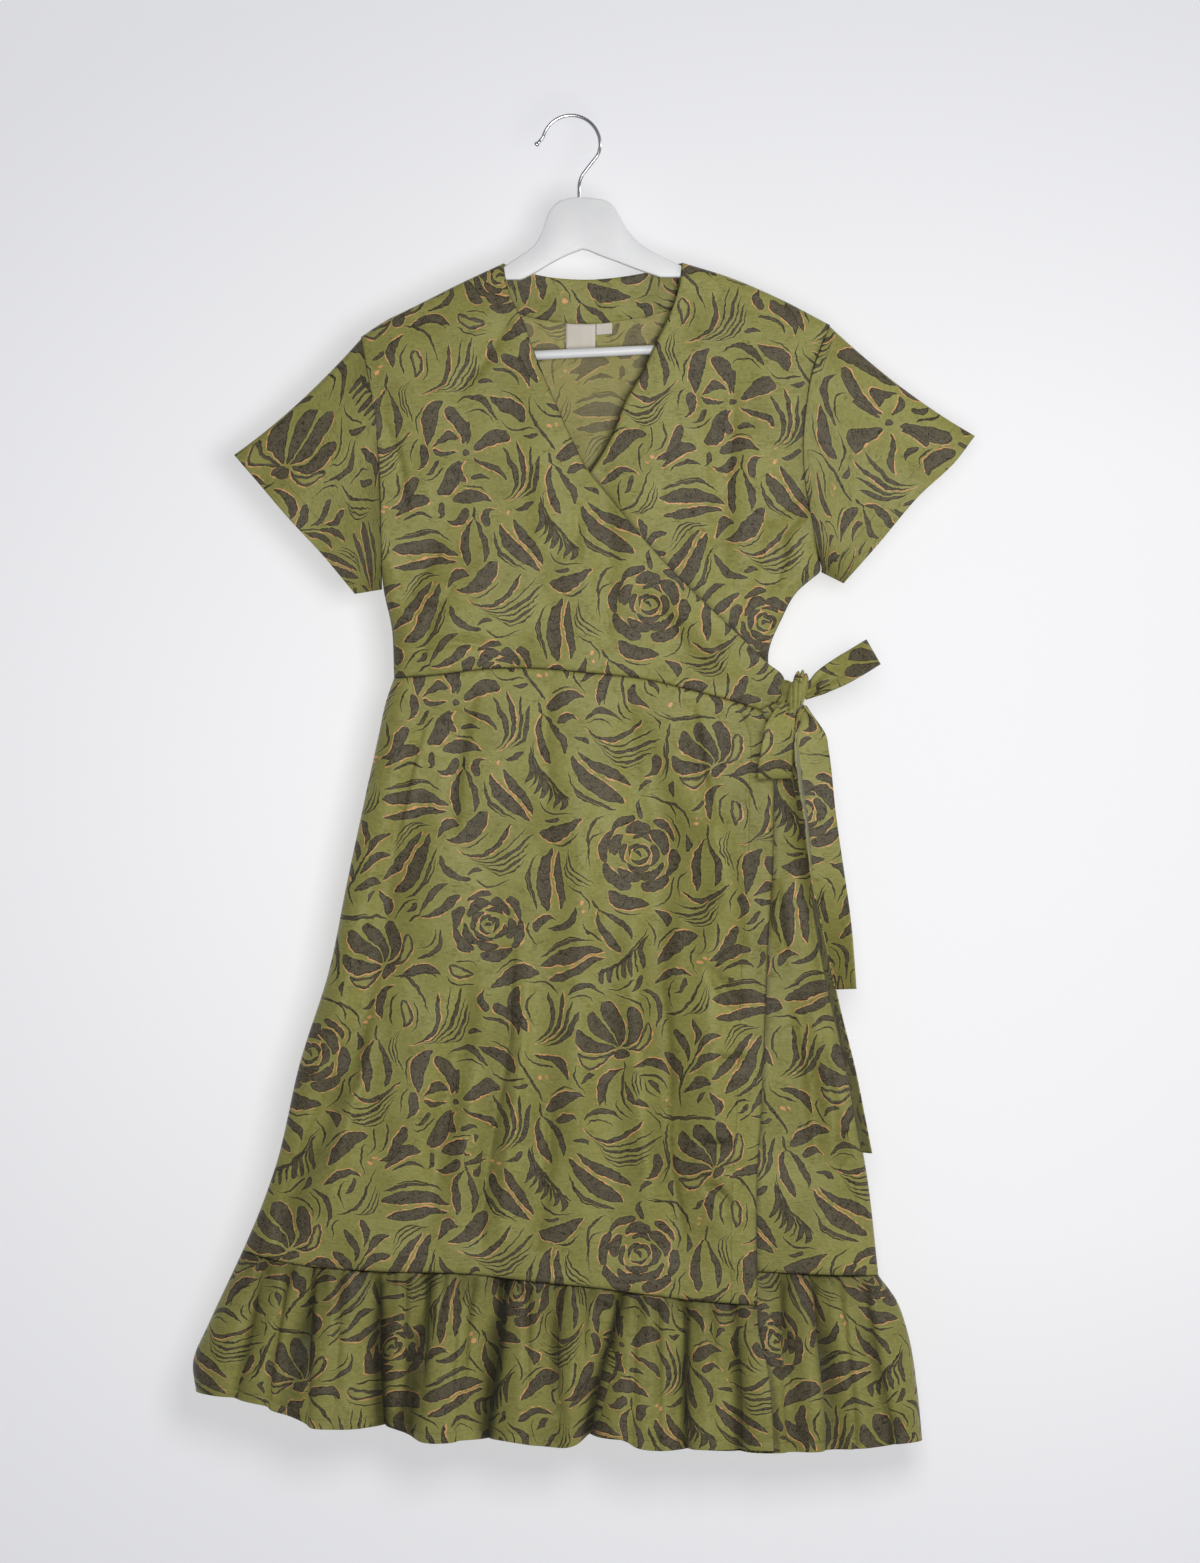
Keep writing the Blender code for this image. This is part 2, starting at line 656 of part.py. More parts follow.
def hang(name, grid, sides, folded, look, collection, inset=0.0):
    """A panel's cloth, before the mid-plane, or behind it where the name ends in back."""
    out = seam_shift(body_depth(grid, sides, folded, inset))
    points = standing(grid, -out)[:, ::-1] if name.endswith("back") else standing(grid, out)
    cloth(name, points, look, collection)


def bodice(look, collection):
    edges = edge(SHOULDER_LEFT), edge(WAIST_OVER), edge(BODICE_SIDE_LEFT), edge(NECK_OVER)
    grid = trimmed(panel_grid(*edges, 14, 9, "top left"), foot=FLAT_SEAM, left=FLAT_SEAM)
    hang("bodice_front_over", grid, "left", fold_depth(FRONT_FOLDS, grid), look, collection)

    edges = edge(SHOULDER_RIGHT), edge(WAIST_UNDER), edge(NECK_UNDER), edge(BODICE_SIDE_RIGHT)
    grid = trimmed(panel_grid(*edges, 12, 9, "top right"), foot=FLAT_SEAM, right=FLAT_SEAM)
    hang("bodice_front_under", grid, "right", fold_depth(FRONT_FOLDS, grid), look, collection, LAP)

    grid = back_grid()
    hang("bodice_back", grid, "left right", fold_depth(BACK_FOLDS, grid), look, collection)


def skirt(look, collection):
    edges = edge(WAIST_OVER), edge(RUFFLE_SEAM_OVER), edge(SKIRT_SIDE_LEFT), edge(FRONT_EDGE_OVER)
    grid = trimmed(panel_grid(*edges, 28, 9, "left"), top=FLAT_SEAM, foot=FLAT_SEAM)
    hang("skirt_front_over", grid, "left", fold_depth(FRONT_FOLDS, grid), look, collection)

    edges = edge(WAIST_UNDER), edge(RUFFLE_SEAM_UNDER), edge(FRONT_EDGE_UNDER), edge(SKIRT_SIDE_RIGHT)
    grid = trimmed(panel_grid(*edges, 24, 9, "right"), top=FLAT_SEAM, foot=FLAT_SEAM)
    hang("skirt_front_under", grid, "right", fold_depth(FRONT_FOLDS, grid), look, collection, LAP)

    edges = edge(WAIST_BACK), edge(RUFFLE_SEAM_BACK), edge(SKIRT_SIDE_LEFT), edge(SKIRT_SIDE_RIGHT)
    grid = trimmed(panel_grid(*edges, 25, 9, "left right"), top=FLAT_SEAM, foot=FLAT_SEAM)
    hang("skirt_back", grid, "left right", fold_depth(BACK_FOLDS, grid), look, collection)


def ruffle(look, collection):
    edges = edge(RUFFLE_SEAM_OVER), edge(HEM_OVER), edge(RUFFLE_SIDE_LEFT), edge(RUFFLE_SIDE_OVER)
    grid = trimmed(panel_grid(*edges, 50, 4, "left"), top=FLAT_SEAM)
    waves = ruffle_depth(FRONT_RUFFLES, grid, RUFFLE_SEAM_OVER)
    hang("ruffle_front_over", grid, "left", waves, look, collection)

    edges = edge(RUFFLE_SEAM_UNDER), edge(HEM_UNDER), edge(RUFFLE_SIDE_UNDER), edge(RUFFLE_SIDE_RIGHT)
    grid = trimmed(panel_grid(*edges, 42, 4, "right"), top=FLAT_SEAM)
    waves = ruffle_depth(FRONT_RUFFLES, grid, RUFFLE_SEAM_OVER)
    hang("ruffle_front_under", grid, "right", waves, look, collection, LAP + RUFFLE_LAP)

    edges = edge(RUFFLE_SEAM_BACK), edge(HEM_BACK), edge(RUFFLE_SIDE_LEFT), edge(RUFFLE_SIDE_RIGHT)
    grid = trimmed(panel_grid(*edges, 50, 4, "left right"), top=FLAT_SEAM)
    waves = ruffle_depth(BACK_RUFFLES, grid, RUFFLE_SEAM_BACK)
    hang("ruffle_back", grid, "left right", waves, look, collection)


def sleeve(name, armhole, side, cuff, look, collection):
    """A short tube from the armhole to its opening, flat as it hangs."""
    turn = np.arange(SLEEVE_ROUND) / SLEEVE_ROUND
    from_top = 0.5 - 0.5 * np.cos(2 * pi * turn)  # 0 at the shoulder, 1 at the underarm
    hole = walk(armhole, from_top)
    hole_out = body_depth(hole, side) * np.where(turn < 0.5, 1.0, -1.0)
    hole_out[[0, SLEEVE_ROUND // 2]] = 0.0
    outward = -1.0 if side == "left" else 1.0
    hole[:, 0] += outward * (2 * FLAT_SEAM + (UNDERARM_CLEAR - 2 * FLAT_SEAM) * from_top**6)
    opening = walk(edge(cuff), from_top)
    opening_out = CUFF_HALF_DEPTH * np.sin(2 * pi * turn)
    points = []
    for t in np.linspace(0, 1, SLEEVE_RINGS):
        ring = (1 - t) * hole + t * opening
        ring[:, 1] += SLEEVE_SAG * 4 * t * (1 - t) * (1 - from_top)
        out = (1 - t) * hole_out + t * opening_out
        grown = sin(pi * np.interp(t, (0, 1), SLEEVE_FOLD_WAVE))
        for at, width, depth in SLEEVE_FOLDS:
            out = out - np.sign(out) * depth * grown * np.exp(-(((turn - at) / width) ** 2))
        points.append(standing(ring, out))
    if side == "left":
        points = [ring[::-1] for ring in points]
    cloth(name, points, look, collection, closed=True)


def facing(look, tape, collection):
    """The back neck facing, from the back's own rows moved in, and two bare labels below its seam."""
    gap = (CLOTH + TRIM) / 2 + 0.3
    rows = back_grid()[: FACING_ROWS + 1]
    columns = (rows[0, :, 0] > FACING_ACROSS[0]) & (rows[0, :, 0] < FACING_ACROSS[1])
    grid = rows[:, columns]
    out = body_depth(grid, "left right", fold_depth(BACK_FOLDS, grid)) - gap
    cloth("neck_facing", standing(grid, -out)[:, ::-1], look, collection, TRIM)
    seam = grid[-1]
    below_seam = 2 * FLAT_SEAM
    for name, left, right, length in LABELS:
        across = np.linspace(left, right, 3)
        top = np.interp(across, seam[:, 0], seam[:, 1]) + below_seam
        grid = np.stack([np.stack((across, top + length * t), axis=-1) for t in (0.0, 0.5, 1.0)])
        out = body_depth(grid, "left right", fold_depth(BACK_FOLDS, grid)) - gap
        cloth(name, standing(grid, -out)[:, ::-1], tape, collection, TRIM)


def strip(name, table, stations, look, collection):
    """A flat tie laid along its table, three points across its width."""
    rows = smooth(table, np.linspace(0, 1, stations))
    points = []
    for across, drop, out, slant, lean, width in rows:
        middle = np.array((across, -out, -drop))
        flat = cos(radians(lean))
        side = np.array((flat * cos(radians(slant)), -sin(radians(lean)), flat * sin(radians(slant))))
        points.append([middle + side * width * share for share in (-0.5, 0.0, 0.5)])
    cloth(name, points, look, collection)


def knot(look, collection):
    """The tie's wrap: a soft block, narrower at its foot."""
    shape = bmesh.new()
    bmesh.ops.create_cube(shape, size=1.0)
    for corner in shape.verts:
        if corner.co.z < 0:
            corner.co.x *= KNOT_FOOT[0]
            corner.co.y *= KNOT_FOOT[1]
    across, drop, out = KNOT_CENTRE
    where = Matrix.Translation(Vector((across, -out, -drop)) * MM)
    turn = Matrix.Rotation(radians(KNOT_LEAN), 4, "Y")
    grow = Matrix.Diagonal((*(Vector(KNOT_SIZE) * MM * KNOT_CAGE), 1.0))
    shape.transform(where @ turn @ grow)
    mesh = bpy.data.meshes.new("tie_knot")
    shape.to_mesh(mesh)
    shape.free()
    mesh.shade_smooth()
    thing = place("tie_knot", mesh, look, collection)
    soft = thing.modifiers.new("soft", "SUBSURF")
    soft.levels = soft.render_levels = 2


def tie(look, collection):
    knot(look, collection)
    strip("tie_loop_up", LOOP_UP, 16, look, collection)
    strip("tie_loop_down", LOOP_DOWN, 16, look, collection)
    strip("tie_tail_long", TAIL_LONG, 20, look, collection)
    strip("tie_tail_short", TAIL_SHORT, 12, look, collection)


def curve_object(name, points, closed, collection):
    """A POLY curve through points (x, y, z) in millimetres."""
    data = bpy.data.curves.new(name, "CURVE")
    line = data.splines.new("POLY")
    line.points.add(len(points) - 1)
    for spot, point in zip(line.points, points):
        spot.co = (*(Vector(point) * MM), 1.0)
    line.use_cyclic_u = closed
    thing = bpy.data.objects.new(name, data)
    collection.objects.link(thing)
    return thing


def as_mesh(thing, look, collection):
    """The curve made a mesh, its caps welded."""
    name = thing.name
    bpy.context.view_layer.update()
    seen = thing.evaluated_get(bpy.context.evaluated_depsgraph_get())
    mesh = bpy.data.meshes.new_from_object(seen)
    matrix = thing.matrix_world.copy()
    bpy.data.objects.remove(thing)
    shape = bmesh.new()
    shape.from_mesh(mesh)
    bmesh.ops.remove_doubles(shape, verts=shape.verts, dist=0.00001)
    shape.to_mesh(mesh)
    shape.free()
    mesh.materials.clear()
    made = place(name, mesh, look, collection)
    made.matrix_world = matrix
    made.data.shade_smooth()
    made.data.set_sharp_from_angle(angle=radians(50))
    return made


def hook(look, collection):
    """Bent wire: a round hook, a bend below it and a straight stem down into the wood."""
    middle = Vector((0.0, 0.0, HOOK_WIRE - HOOK_RADIUS))
    points = []
    for angle in np.radians(np.linspace(*HOOK_TURN, 15)):
        points.append(middle + HOOK_RADIUS * Vector((cos(angle), 0.0, sin(angle))))
    points += [Vector((across, 0.0, -drop)) for across, drop in HOOK_BEND]
    thing = curve_object("hook", points, False, collection)
    thing.data.dimensions = "3D"
    thing.data.bevel_depth = HOOK_WIRE * MM
    thing.data.bevel_resolution = 2
    thing.data.use_fill_caps = True
    thing.data.splines[0].points[0].radius = HOOK_TIP
    as_mesh(thing, look, collection)


def bar_drop(across):
    (left, left_drop), (right, right_drop) = BAR_CENTRE
    return left_drop + (across - left) * (right_drop - left_drop) / (right - left)


def hanger_outline():
    """The wood from the front: two arms under the cloth, a crown at the hook, a lobe for the bar."""

    def arm_top(across):
        return float(shoulder_drop(across)) + ARM_UNDER_CLOTH

    def arm(places, below=0.0):
        return [(across, arm_top(across) + below) for across in places]

    top = [*arm(ARM_LEFT), *CROWN_TOP, *arm(ARM_RIGHT)]
    foot_right = arm((*ARM_RIGHT[2::-1], CROWN_TOP[-1][0]), ARM_HEIGHT)
    foot_left = arm((CROWN_TOP[0][0], *ARM_LEFT[:1:-1]), ARM_HEIGHT)
    return [*top, *LOBE_RIGHT, *foot_right, *CROWN_FOOT, *foot_left, *LOBE_LEFT]


def hanger(look, collection):
    outline = [(across, -drop, 0.0) for across, drop in hanger_outline()]
    thing = curve_object("hanger_wood", outline, True, collection)
    thing.data.dimensions = "2D"
    thing.data.fill_mode = "BOTH"
    thing.data.extrude = (HANGER_HALF - HANGER_EDGE) * MM
    thing.data.bevel_depth = HANGER_EDGE * MM
    thing.data.bevel_resolution = 1
    thing.data.offset = -HANGER_EDGE * MM
    thing.rotation_euler = (pi / 2, 0.0, 0.0)
    made = as_mesh(thing, look, collection)
    made.data.transform(made.matrix_world)
    made.matrix_world = Matrix.Identity(4)

    left = Vector((BAR_ENDS[0], 0.0, -bar_drop(BAR_ENDS[0])))
    right = Vector((BAR_ENDS[1], 0.0, -bar_drop(BAR_ENDS[1])))
    shape = bmesh.new()
    turn = (right - left).to_track_quat("Z", "Y").to_matrix().to_4x4()
    bmesh.ops.create_cone(
        shape,
        cap_ends=True,
        segments=14,
        radius1=BAR_RADIUS * MM,
        radius2=BAR_RADIUS * MM,
        depth=(right - left).length * MM,
        matrix=Matrix.Translation((left + right) * 0.5 * MM) @ turn,
    )
    mesh = bpy.data.meshes.new("hanger_bar")
    shape.to_mesh(mesh)
    shape.free()
    mesh.shade_smooth()
    mesh.set_sharp_from_angle(angle=radians(50))
    place("hanger_bar", mesh, look, collection)


def build():
    for thing in list(bpy.data.objects):
        bpy.data.objects.remove(thing)
    collection = bpy.data.collections.new("wrap_dress_on_hanger")
    bpy.context.scene.collection.children.link(collection)
    printed = material("printed_cloth", PRINTED_CLOTH)
    tape = material("label_tape", LABEL_TAPE)
    painted = material("white_paint", WHITE_PAINT)
    bodice(printed, collection)
    skirt(printed, collection)
    ruffle(printed, collection)
    armhole = above(edge(BODICE_SIDE_LEFT), LEFT_UNDERARM)
    sleeve("sleeve_left", armhole, "left", CUFF_LEFT, printed, collection)
    armhole = above(edge(BODICE_SIDE_RIGHT), RIGHT_UNDERARM)
    sleeve("sleeve_right", armhole, "right", CUFF_RIGHT, printed, collection)
    facing(printed, tape, collection)
    tie(printed, collection)
    hook(material("chrome_wire", CHROME, 1.0), collection)
    hanger(painted, collection)


build()
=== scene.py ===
"""Wrap dress on a wooden hanger: printed satin cotton with its seams and stitches, bow, wood and wire.

Frame: metres, +Z up, the front faces -Y, the origin is where a rail carries the hook. Left and right
are as seen from the front. Tables are in millimetres: across is the way right of the hook, drop is the
way down from it, out is the way to the front of the mid-plane.
"""

from math import cos, pi, radians, sin

import bmesh
import bpy
import numpy as np
from mathutils import Matrix, Vector


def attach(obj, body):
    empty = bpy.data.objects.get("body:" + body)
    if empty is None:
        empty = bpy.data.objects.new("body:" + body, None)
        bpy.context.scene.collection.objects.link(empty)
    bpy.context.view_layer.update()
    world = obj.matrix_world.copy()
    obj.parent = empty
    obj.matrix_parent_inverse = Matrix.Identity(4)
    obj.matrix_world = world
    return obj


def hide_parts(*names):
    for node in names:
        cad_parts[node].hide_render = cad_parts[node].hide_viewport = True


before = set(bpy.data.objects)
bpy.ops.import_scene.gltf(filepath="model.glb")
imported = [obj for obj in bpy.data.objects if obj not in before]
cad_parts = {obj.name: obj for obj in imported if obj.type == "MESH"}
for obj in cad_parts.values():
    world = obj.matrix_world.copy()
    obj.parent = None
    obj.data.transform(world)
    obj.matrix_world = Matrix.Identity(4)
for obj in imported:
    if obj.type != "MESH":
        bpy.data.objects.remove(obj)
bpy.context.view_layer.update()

MM = 0.001

# ---- cloth, in millimetres ----
WALL = 0.7  # the cotton satin with its two faces
TIE_WALL = 1.2  # a tie is two layers, pressed flat
TAPE_WALL = 0.5
FOLD_GAIN = (1.7, 3.0)  # the folds' depths are so many times the tables': in the bodice, in the skirt
GAIN_DROPS = (520.0, 640.0)  # the drops between which the one passes into the other
STEP = 3.0  # between the rows and columns of the front's cloth
BACK_STEP = 5.0
EDGE_POINTS = 161  # on one smooth stretch of a panel's edge
EDGE_STEPS = (0.0, 0.5, 1.3, 2.6, 4.6, 7.4, 10.6)  # rows and columns near an edge
FLAT_SEAM = 0.35  # each edge stands this far from a seam whose cloth runs straight on
FOLDED_SEAM = 0.42  # and from one where the cloth turns back
SEAM_TUCK = 1.9  # the cloth dips this much into a seam
SEAM_REACH = 1.7
# painted shade: the cloth's colour is darkened within these widths of its seams and of an edge that laps over
# it, and in the ruffle's troughs and gathers
SEAM_SHADE = 0.8
LAP_SHADE = 3.0
TROUGH_SHADE = 0.85  # painted shade: how much darker the cloth's colour is made deep in a trough of the ruffle
TROUGH_DEEP = 13.0
GATHER_SHADE = 0.5  # and at the gathers of its seam
GATHER_REACH = 24.0
LAP = 4.4  # the under front lies this far behind the over front
RUFFLE_LAP = 1.5  # and the under ruffle this much further
LAP_FALL = 30.0  # drop in which the under front comes to lie that far behind
SIDE_ROUND = (  # drop, width over which the cloth turns from front to back at a side seam
    (540, 17), (700, 26), (850, 42), (1100, 66), (1340, 66),
)
SHOULDER_ROUND = 7.2  # half of the width over the hanger's arm
SHOULDER_FALL = 45.0  # drop in which the cloth leaves the arm for its full half depth
UNDERARM_OPEN = 62.0  # height in which the side seam opens into the armhole
UNDERARM_CLEAR = 1.5  # the sleeve's underarm stands this far out from the side seam's corner
FOLD_ROOM = 8.5  # the deepest troughs stop this far from the mid-plane

# ---- hanger and hook ----
HANGER_HALF = 5.5  # half of the wood's thickness
HANGER_EDGE = 3.0  # its rounded edges
ARM_HEIGHT = 22.0
ARM_UNDER_CLOTH = 2.3  # from the middle of the cloth down to the wood
BAR_RADIUS = 4.7
BAR_EDGE = 0.8
BAR_CENTRE = ((-38.5, 239), (84.6, 233))  # two places that its axis passes
BAR_ENDS = (-174.6, 199.2)
HOOK_WIRE = 1.9
HOOK_RADIUS = 29.0
HOOK_TURN = (162.0, -14.0)  # degrees, from its flared tip round to the bend
TIP_TURN = (12.0, 25.0, 4.0)  # radius, degrees and straight length of the flare
NECK_RADIUS = 15.0  # the wire turns in below the rail, comes down straight and turns back upright
NECK_TURN = 24.0
NECK_STRAIGHT = 19.7
FOOT_RADIUS = 25.0
FOOT_STRAIGHT = 9.75
WIRE_SIDES = 20
WIRE_STEP = 3.5  # degrees
TIP_BALL = (  # way on, size to the last
    (0.4, 1.25), (0.7, 1.14), (1, 1.05), (1.1, 0.98), (0.7, 0.84), (0.3, 0.5),
)
ARM_LEFT = (-172.5, -156, -135, -114, -90)
ARM_RIGHT = (140, 163, 186, 197)
CROWN_TOP = (  # across, drop, between the two arms
    (-68, 150.6), (-50, 138.5), (-37.5, 129), (-30.5, 118.5), (-26.5, 106.5), (-21.5, 94.5), (-12.5, 85),
    (0, 81.3), (10.6, 80.7), (24, 81.8), (38, 85.5), (46, 94.5), (52, 106), (60, 118), (72, 129.5),
    (90, 139.5), (112, 150),
)
CROWN_FOOT = (
    (90, 161), (72, 155), (44, 144.5), (30, 139.5), (17.5, 134.2), (12.5, 132.4), (7.5, 134), (-6, 139.6),
    (-20, 146.8), (-34, 155), (-50, 163.5),
)
# ---- outline of the body, across by drop ----
SHOULDER_LEFT = ((-211, 221), (-188.5, 206), (-156, 189.7), (-114, 168.5), (-68, 147))
SHOULDER_RIGHT = ((111, 146), (163, 162.5), (208, 182), (260, 209))
COLLAR_PEAK = (12.0, 109.0)  # where the two shoulder lines would meet, up behind the hanger
BODICE_SIDE_LEFT = (  # armhole, then side seam
    (-211, 221), (-200.5, 279), (-195.4, 317), (-191.6, 368), (-190.5, 419), (-188, 474), (-180, 512),
    (-177.5, 563),
)
BODICE_SIDE_RIGHT = (
    (260, 209), (252, 230), (243, 256), (237, 291), (234, 330), (236, 368), (243, 409), (247, 437),
    (249, 457), (243, 462), (226, 477), (211.5, 503), (198, 538), (203.5, 578),
)
SKIRT_SIDE_LEFT = (
    (-177.5, 563), (-185, 585), (-193, 621), (-208, 690), (-225, 770), (-242, 854), (-271, 946),
    (-297, 1055), (-314, 1102), (-329, 1137),
)
SKIRT_SIDE_RIGHT = (
    (203.5, 578), (219, 625), (241, 735), (261, 875), (277, 959), (297, 1065), (308, 1162),
)
RUFFLE_SIDE_LEFT = ((-329, 1137), (-344, 1169), (-364, 1212), (-379, 1250), (-376, 1278))
RUFFLE_SIDE_RIGHT = ((308, 1162), (326, 1187), (337, 1218), (347, 1277), (352, 1327))
HALF_DEPTH = (  # drop, half depth of the hanging dress at that drop
    (150, 13.5), (240, 14.5), (365, 17), (470, 17.5), (565, 15), (640, 17), (770, 20), (950, 24),
    (1150, 28), (1340, 34),
)
LEFT_UNDERARM = 474.0  # drop
RIGHT_UNDERARM = 457.0
SIDE_SEAMS = (  # side, its line from the shoulder to the hem, underarm, way in to the cloth
    ("left", (BODICE_SIDE_LEFT, SKIRT_SIDE_LEFT, RUFFLE_SIDE_LEFT), LEFT_UNDERARM, 1),
    ("right", (BODICE_SIDE_RIGHT, SKIRT_SIDE_RIGHT, RUFFLE_SIDE_RIGHT), RIGHT_UNDERARM, -1),
)

# ---- edges of the pieces, across by drop ----
NECK_OVER = (
    (-68, 147), (-64, 170), (-59, 184), (-48, 205), (-38, 234), (-14, 291), (0, 322), (16, 353),
    (33, 375), (67, 417), (98, 452), (131, 485), (172, 524), (195, 547), (213, 563), (212, 580),
    (190, 595),
)
NECK_UNDER = (  # below the crossing it is hidden, the other front's edge in a mirror
    (111, 146), (109, 167), (100, 196), (84, 229), (71, 258), (55, 285), (43, 316), (29, 342), (-15, 395),
    (-60, 445), (-110, 495), (-140, 528), (-156, 553),
)
NECK_BACK = ((-68, 147), (-36, 157), (12, 162), (71, 156), (111, 146))
WAIST_OVER = (
    (-177.5, 563), (-137, 560), (-87, 554), (-41, 553), (16, 557.5), (73, 564), (112, 573), (165, 587),
    (190, 595),
)
WAIST_UNDER = ((-156, 553), (20, 566), (130, 578), (203.5, 578))
WAIST_BACK = ((-177.5, 563), (10, 566), (203.5, 578))
FRONT_EDGE_OVER = (
    (190, 595), (203, 625), (203, 678), (202, 755), (198, 812), (194, 908), (191, 984), (186, 1065),
    (186, 1190),
)
FRONT_EDGE_UNDER = ((-156, 553), (-160, 760), (-162, 960), (-165, 1148))
RUFFLE_SEAM_OVER = (
    (-329, 1137), (-282, 1148), (-195, 1156), (-100, 1159), (-40, 1166), (20, 1172), (112, 1184),
    (186, 1190),
)
RUFFLE_SEAM_UNDER = ((-165, 1148), (20, 1150), (206, 1158), (308, 1162))
RUFFLE_SEAM_BACK = ((-329, 1137), (-10, 1156), (308, 1162))
RUFFLE_SIDE_OVER = ((186, 1190), (188, 1218), (196, 1249), (201, 1295), (203, 1334))
RUFFLE_SIDE_UNDER = ((-165, 1148), (-172, 1210), (-180, 1300))
HEM_OVER = (
    (-376, 1278), (-321, 1286), (-287, 1298), (-259, 1311), (-227, 1313), (-177, 1311), (-142, 1326),
    (-103, 1324), (-73, 1324), (-33, 1330), (-4, 1331), (14, 1320), (40, 1320), (74, 1333), (122, 1333),
    (203, 1334),
)
HEM_UNDER = ((-180, 1300), (0, 1318), (203, 1337), (288, 1333), (352, 1327))
HEM_BACK = ((-376, 1278), (-250, 1300), (0, 1316), (200, 1326), (352, 1327))
FACING_ACROSS = (-68.0, 108.0)  # reach of the back neck facing
LABELS = (("label_main", -5.4, 24.4, 32.0), ("label_size", 25.0, 41.0, 11.0))  # left, right, length

# ---- sleeves: the opening from the top fold to the underarm fold ----
CUFF_LEFT = ((-338, 339), (-315, 365.5), (-282, 404), (-249, 439.5), (-217, 478))
CUFF_RIGHT = ((405, 320), (386, 345), (348, 381), (310, 426), (273.5, 467.5))
CUFF_HALF_DEPTH = 13.0
SLEEVE_SAG = 7.0  # how far the top fold hangs below a straight line

# ---- folds: half width and depth, then the way each runs, across by drop ----
# A positive depth is a trough, a negative one a ridge.
FOLD_TAPER = 0.6  # a fold's depth falls off at its ends as a sine to this power
FRONT_FOLDS = (
    (15, 5.5, ((66, 602), (92, 730), (84, 880), (103, 1069), (98, 1150))),
    (20, -4.5, ((118, 640), (146, 760), (140, 880), (150, 1040), (150, 1150))),
    (19, 4.5, ((-140, 640), (-175, 760), (-214, 930), (-276, 1060), (-300, 1125))),
    (17, 3.5, ((-108, 870), (-129, 1015), (-150, 1140))),
    (15, 3.5, ((-66, 830), (-82, 990), (-92, 1140))),
    (22, -3.5, ((0, 620), (10, 800), (5, 960), (20, 1150))),
    (13, 4, ((27, 335), (35, 400), (36, 470), (34, 540))),
    (16, 3, ((-129, 425), (-150, 460), (-172, 490))),
    (13, 4.5, ((150, 215), (151, 300), (152, 400), (146, 480))),
    (14, 3, ((216, 430), (190, 480), (176, 520))),
)
BACK_FOLDS = (
    (18, 4.5, ((-60, 600), (-80, 800), (-95, 980), (-110, 1140))),
    (20, -4.5, ((-10, 610), (-12, 820), (-20, 1140))),
    (17, 5, ((70, 600), (86, 820), (110, 1000), (118, 1145))),
    (18, 4, ((-140, 640), (-176, 850), (-230, 1050), (-250, 1130))),
    (18, 4, ((165, 660), (196, 850), (222, 1050), (230, 1150))),
    (14, 3.5, ((-100, 260), (-90, 380), (-70, 520))),
    (14, 3.5, ((150, 250), (140, 380), (110, 530))),
    (15, 3, ((20, 300), (22, 420), (18, 540))),
)
SLEEVE_FOLDS = (  # share of the way round from the shoulder, half width as such a share, depth
    (0.14, 0.05, 3), (0.27, 0.05, 4), (0.7, 0.06, 3.5), (0.84, 0.05, 3),
)
SLEEVE_FOLD_WAVE = (0.15, 0.75)  # the part of a half wave that a fold's depth follows down the sleeve

# ---- ruffle: place of each trough at the seam and at the hem, half width there, depth at the hem ----
FRONT_RUFFLES = (
    (-300, -338, 12, 10.8), (-256, -283, 13, 15.6), (-192, -196, 20, 20.4), (-142, -160, 11, 15.6),
    (-68, -84, 17, 22.8), (-14, -26, 13, 10.8), (53, 18, 15, 20.4), (116, 112, 12, 14.4),
    (160, 168, 13, 12), (212, 226, 10, 10.8), (247, 266, 10, 15.6), (280, 312, 11, 12),
)
BACK_RUFFLES = (
    (-296, -330, 13, 8), (-240, -266, 14, 10), (-180, -198, 14, 9), (-122, -134, 13, 11),
    (-62, -68, 14, 9), (-4, 0, 14, 11), (54, 66, 13, 9), (112, 130, 14, 10), (172, 196, 14, 9),
    (230, 258, 13, 10), (276, 312, 12, 8),
)
# Across at the seam and at the hem, half width at both, depth at both, how far it draws the cloth in.
PLEATS = (
    (-307, -334, 5, 9, 6, 5, 0.5), (-281, -302, 4.4, 9, 12, 9, 0.8), (-256, -264, 4, 8, 11, 5, 0.7),
    (-231, -236, 3.4, 8, 7, 2.5, 0.4), (-193, -186, 5, 15, 13, 20, 1), (-166, -160, 3.6, 7, 6, 6, 0.5),
    (-142, -147, 4, 6, 11, 4, 0.6), (-114, -119, 3.5, 6, 7, 2, 0.4), (-97, -112, 4, 7, 8, 5, 0.6),
    (-66, -80.5, 5, 6, 24, 34, 1.15), (-43, -41, 4, 8, 9, 4, 0.5), (-12, -14, 4, 9, 7, 7, 0.5),
    (16, 6, 3.6, 7, 6, 3, 0.4), (50, 20, 5, 12, 14, 24, 1), (68, 58, 3.4, 8, 6, 4, 0.4),
    (86, 88, 3.5, 6, 8, 4, 0.5), (115, 117, 4, 7, 12, 9, 0.8), (141, 147, 4, 8, 6, 4, 0.4),
    (164, 172, 4, 9, 8, 8, 0.5), (211, 215, 4, 8, 9, 5, 0.6), (242, 252, 4, 8, 10, 10, 0.8),
    (268, 286, 4, 8, 9, 7, 0.6), (292, 322, 4, 8, 8, 10, 0.7),
)
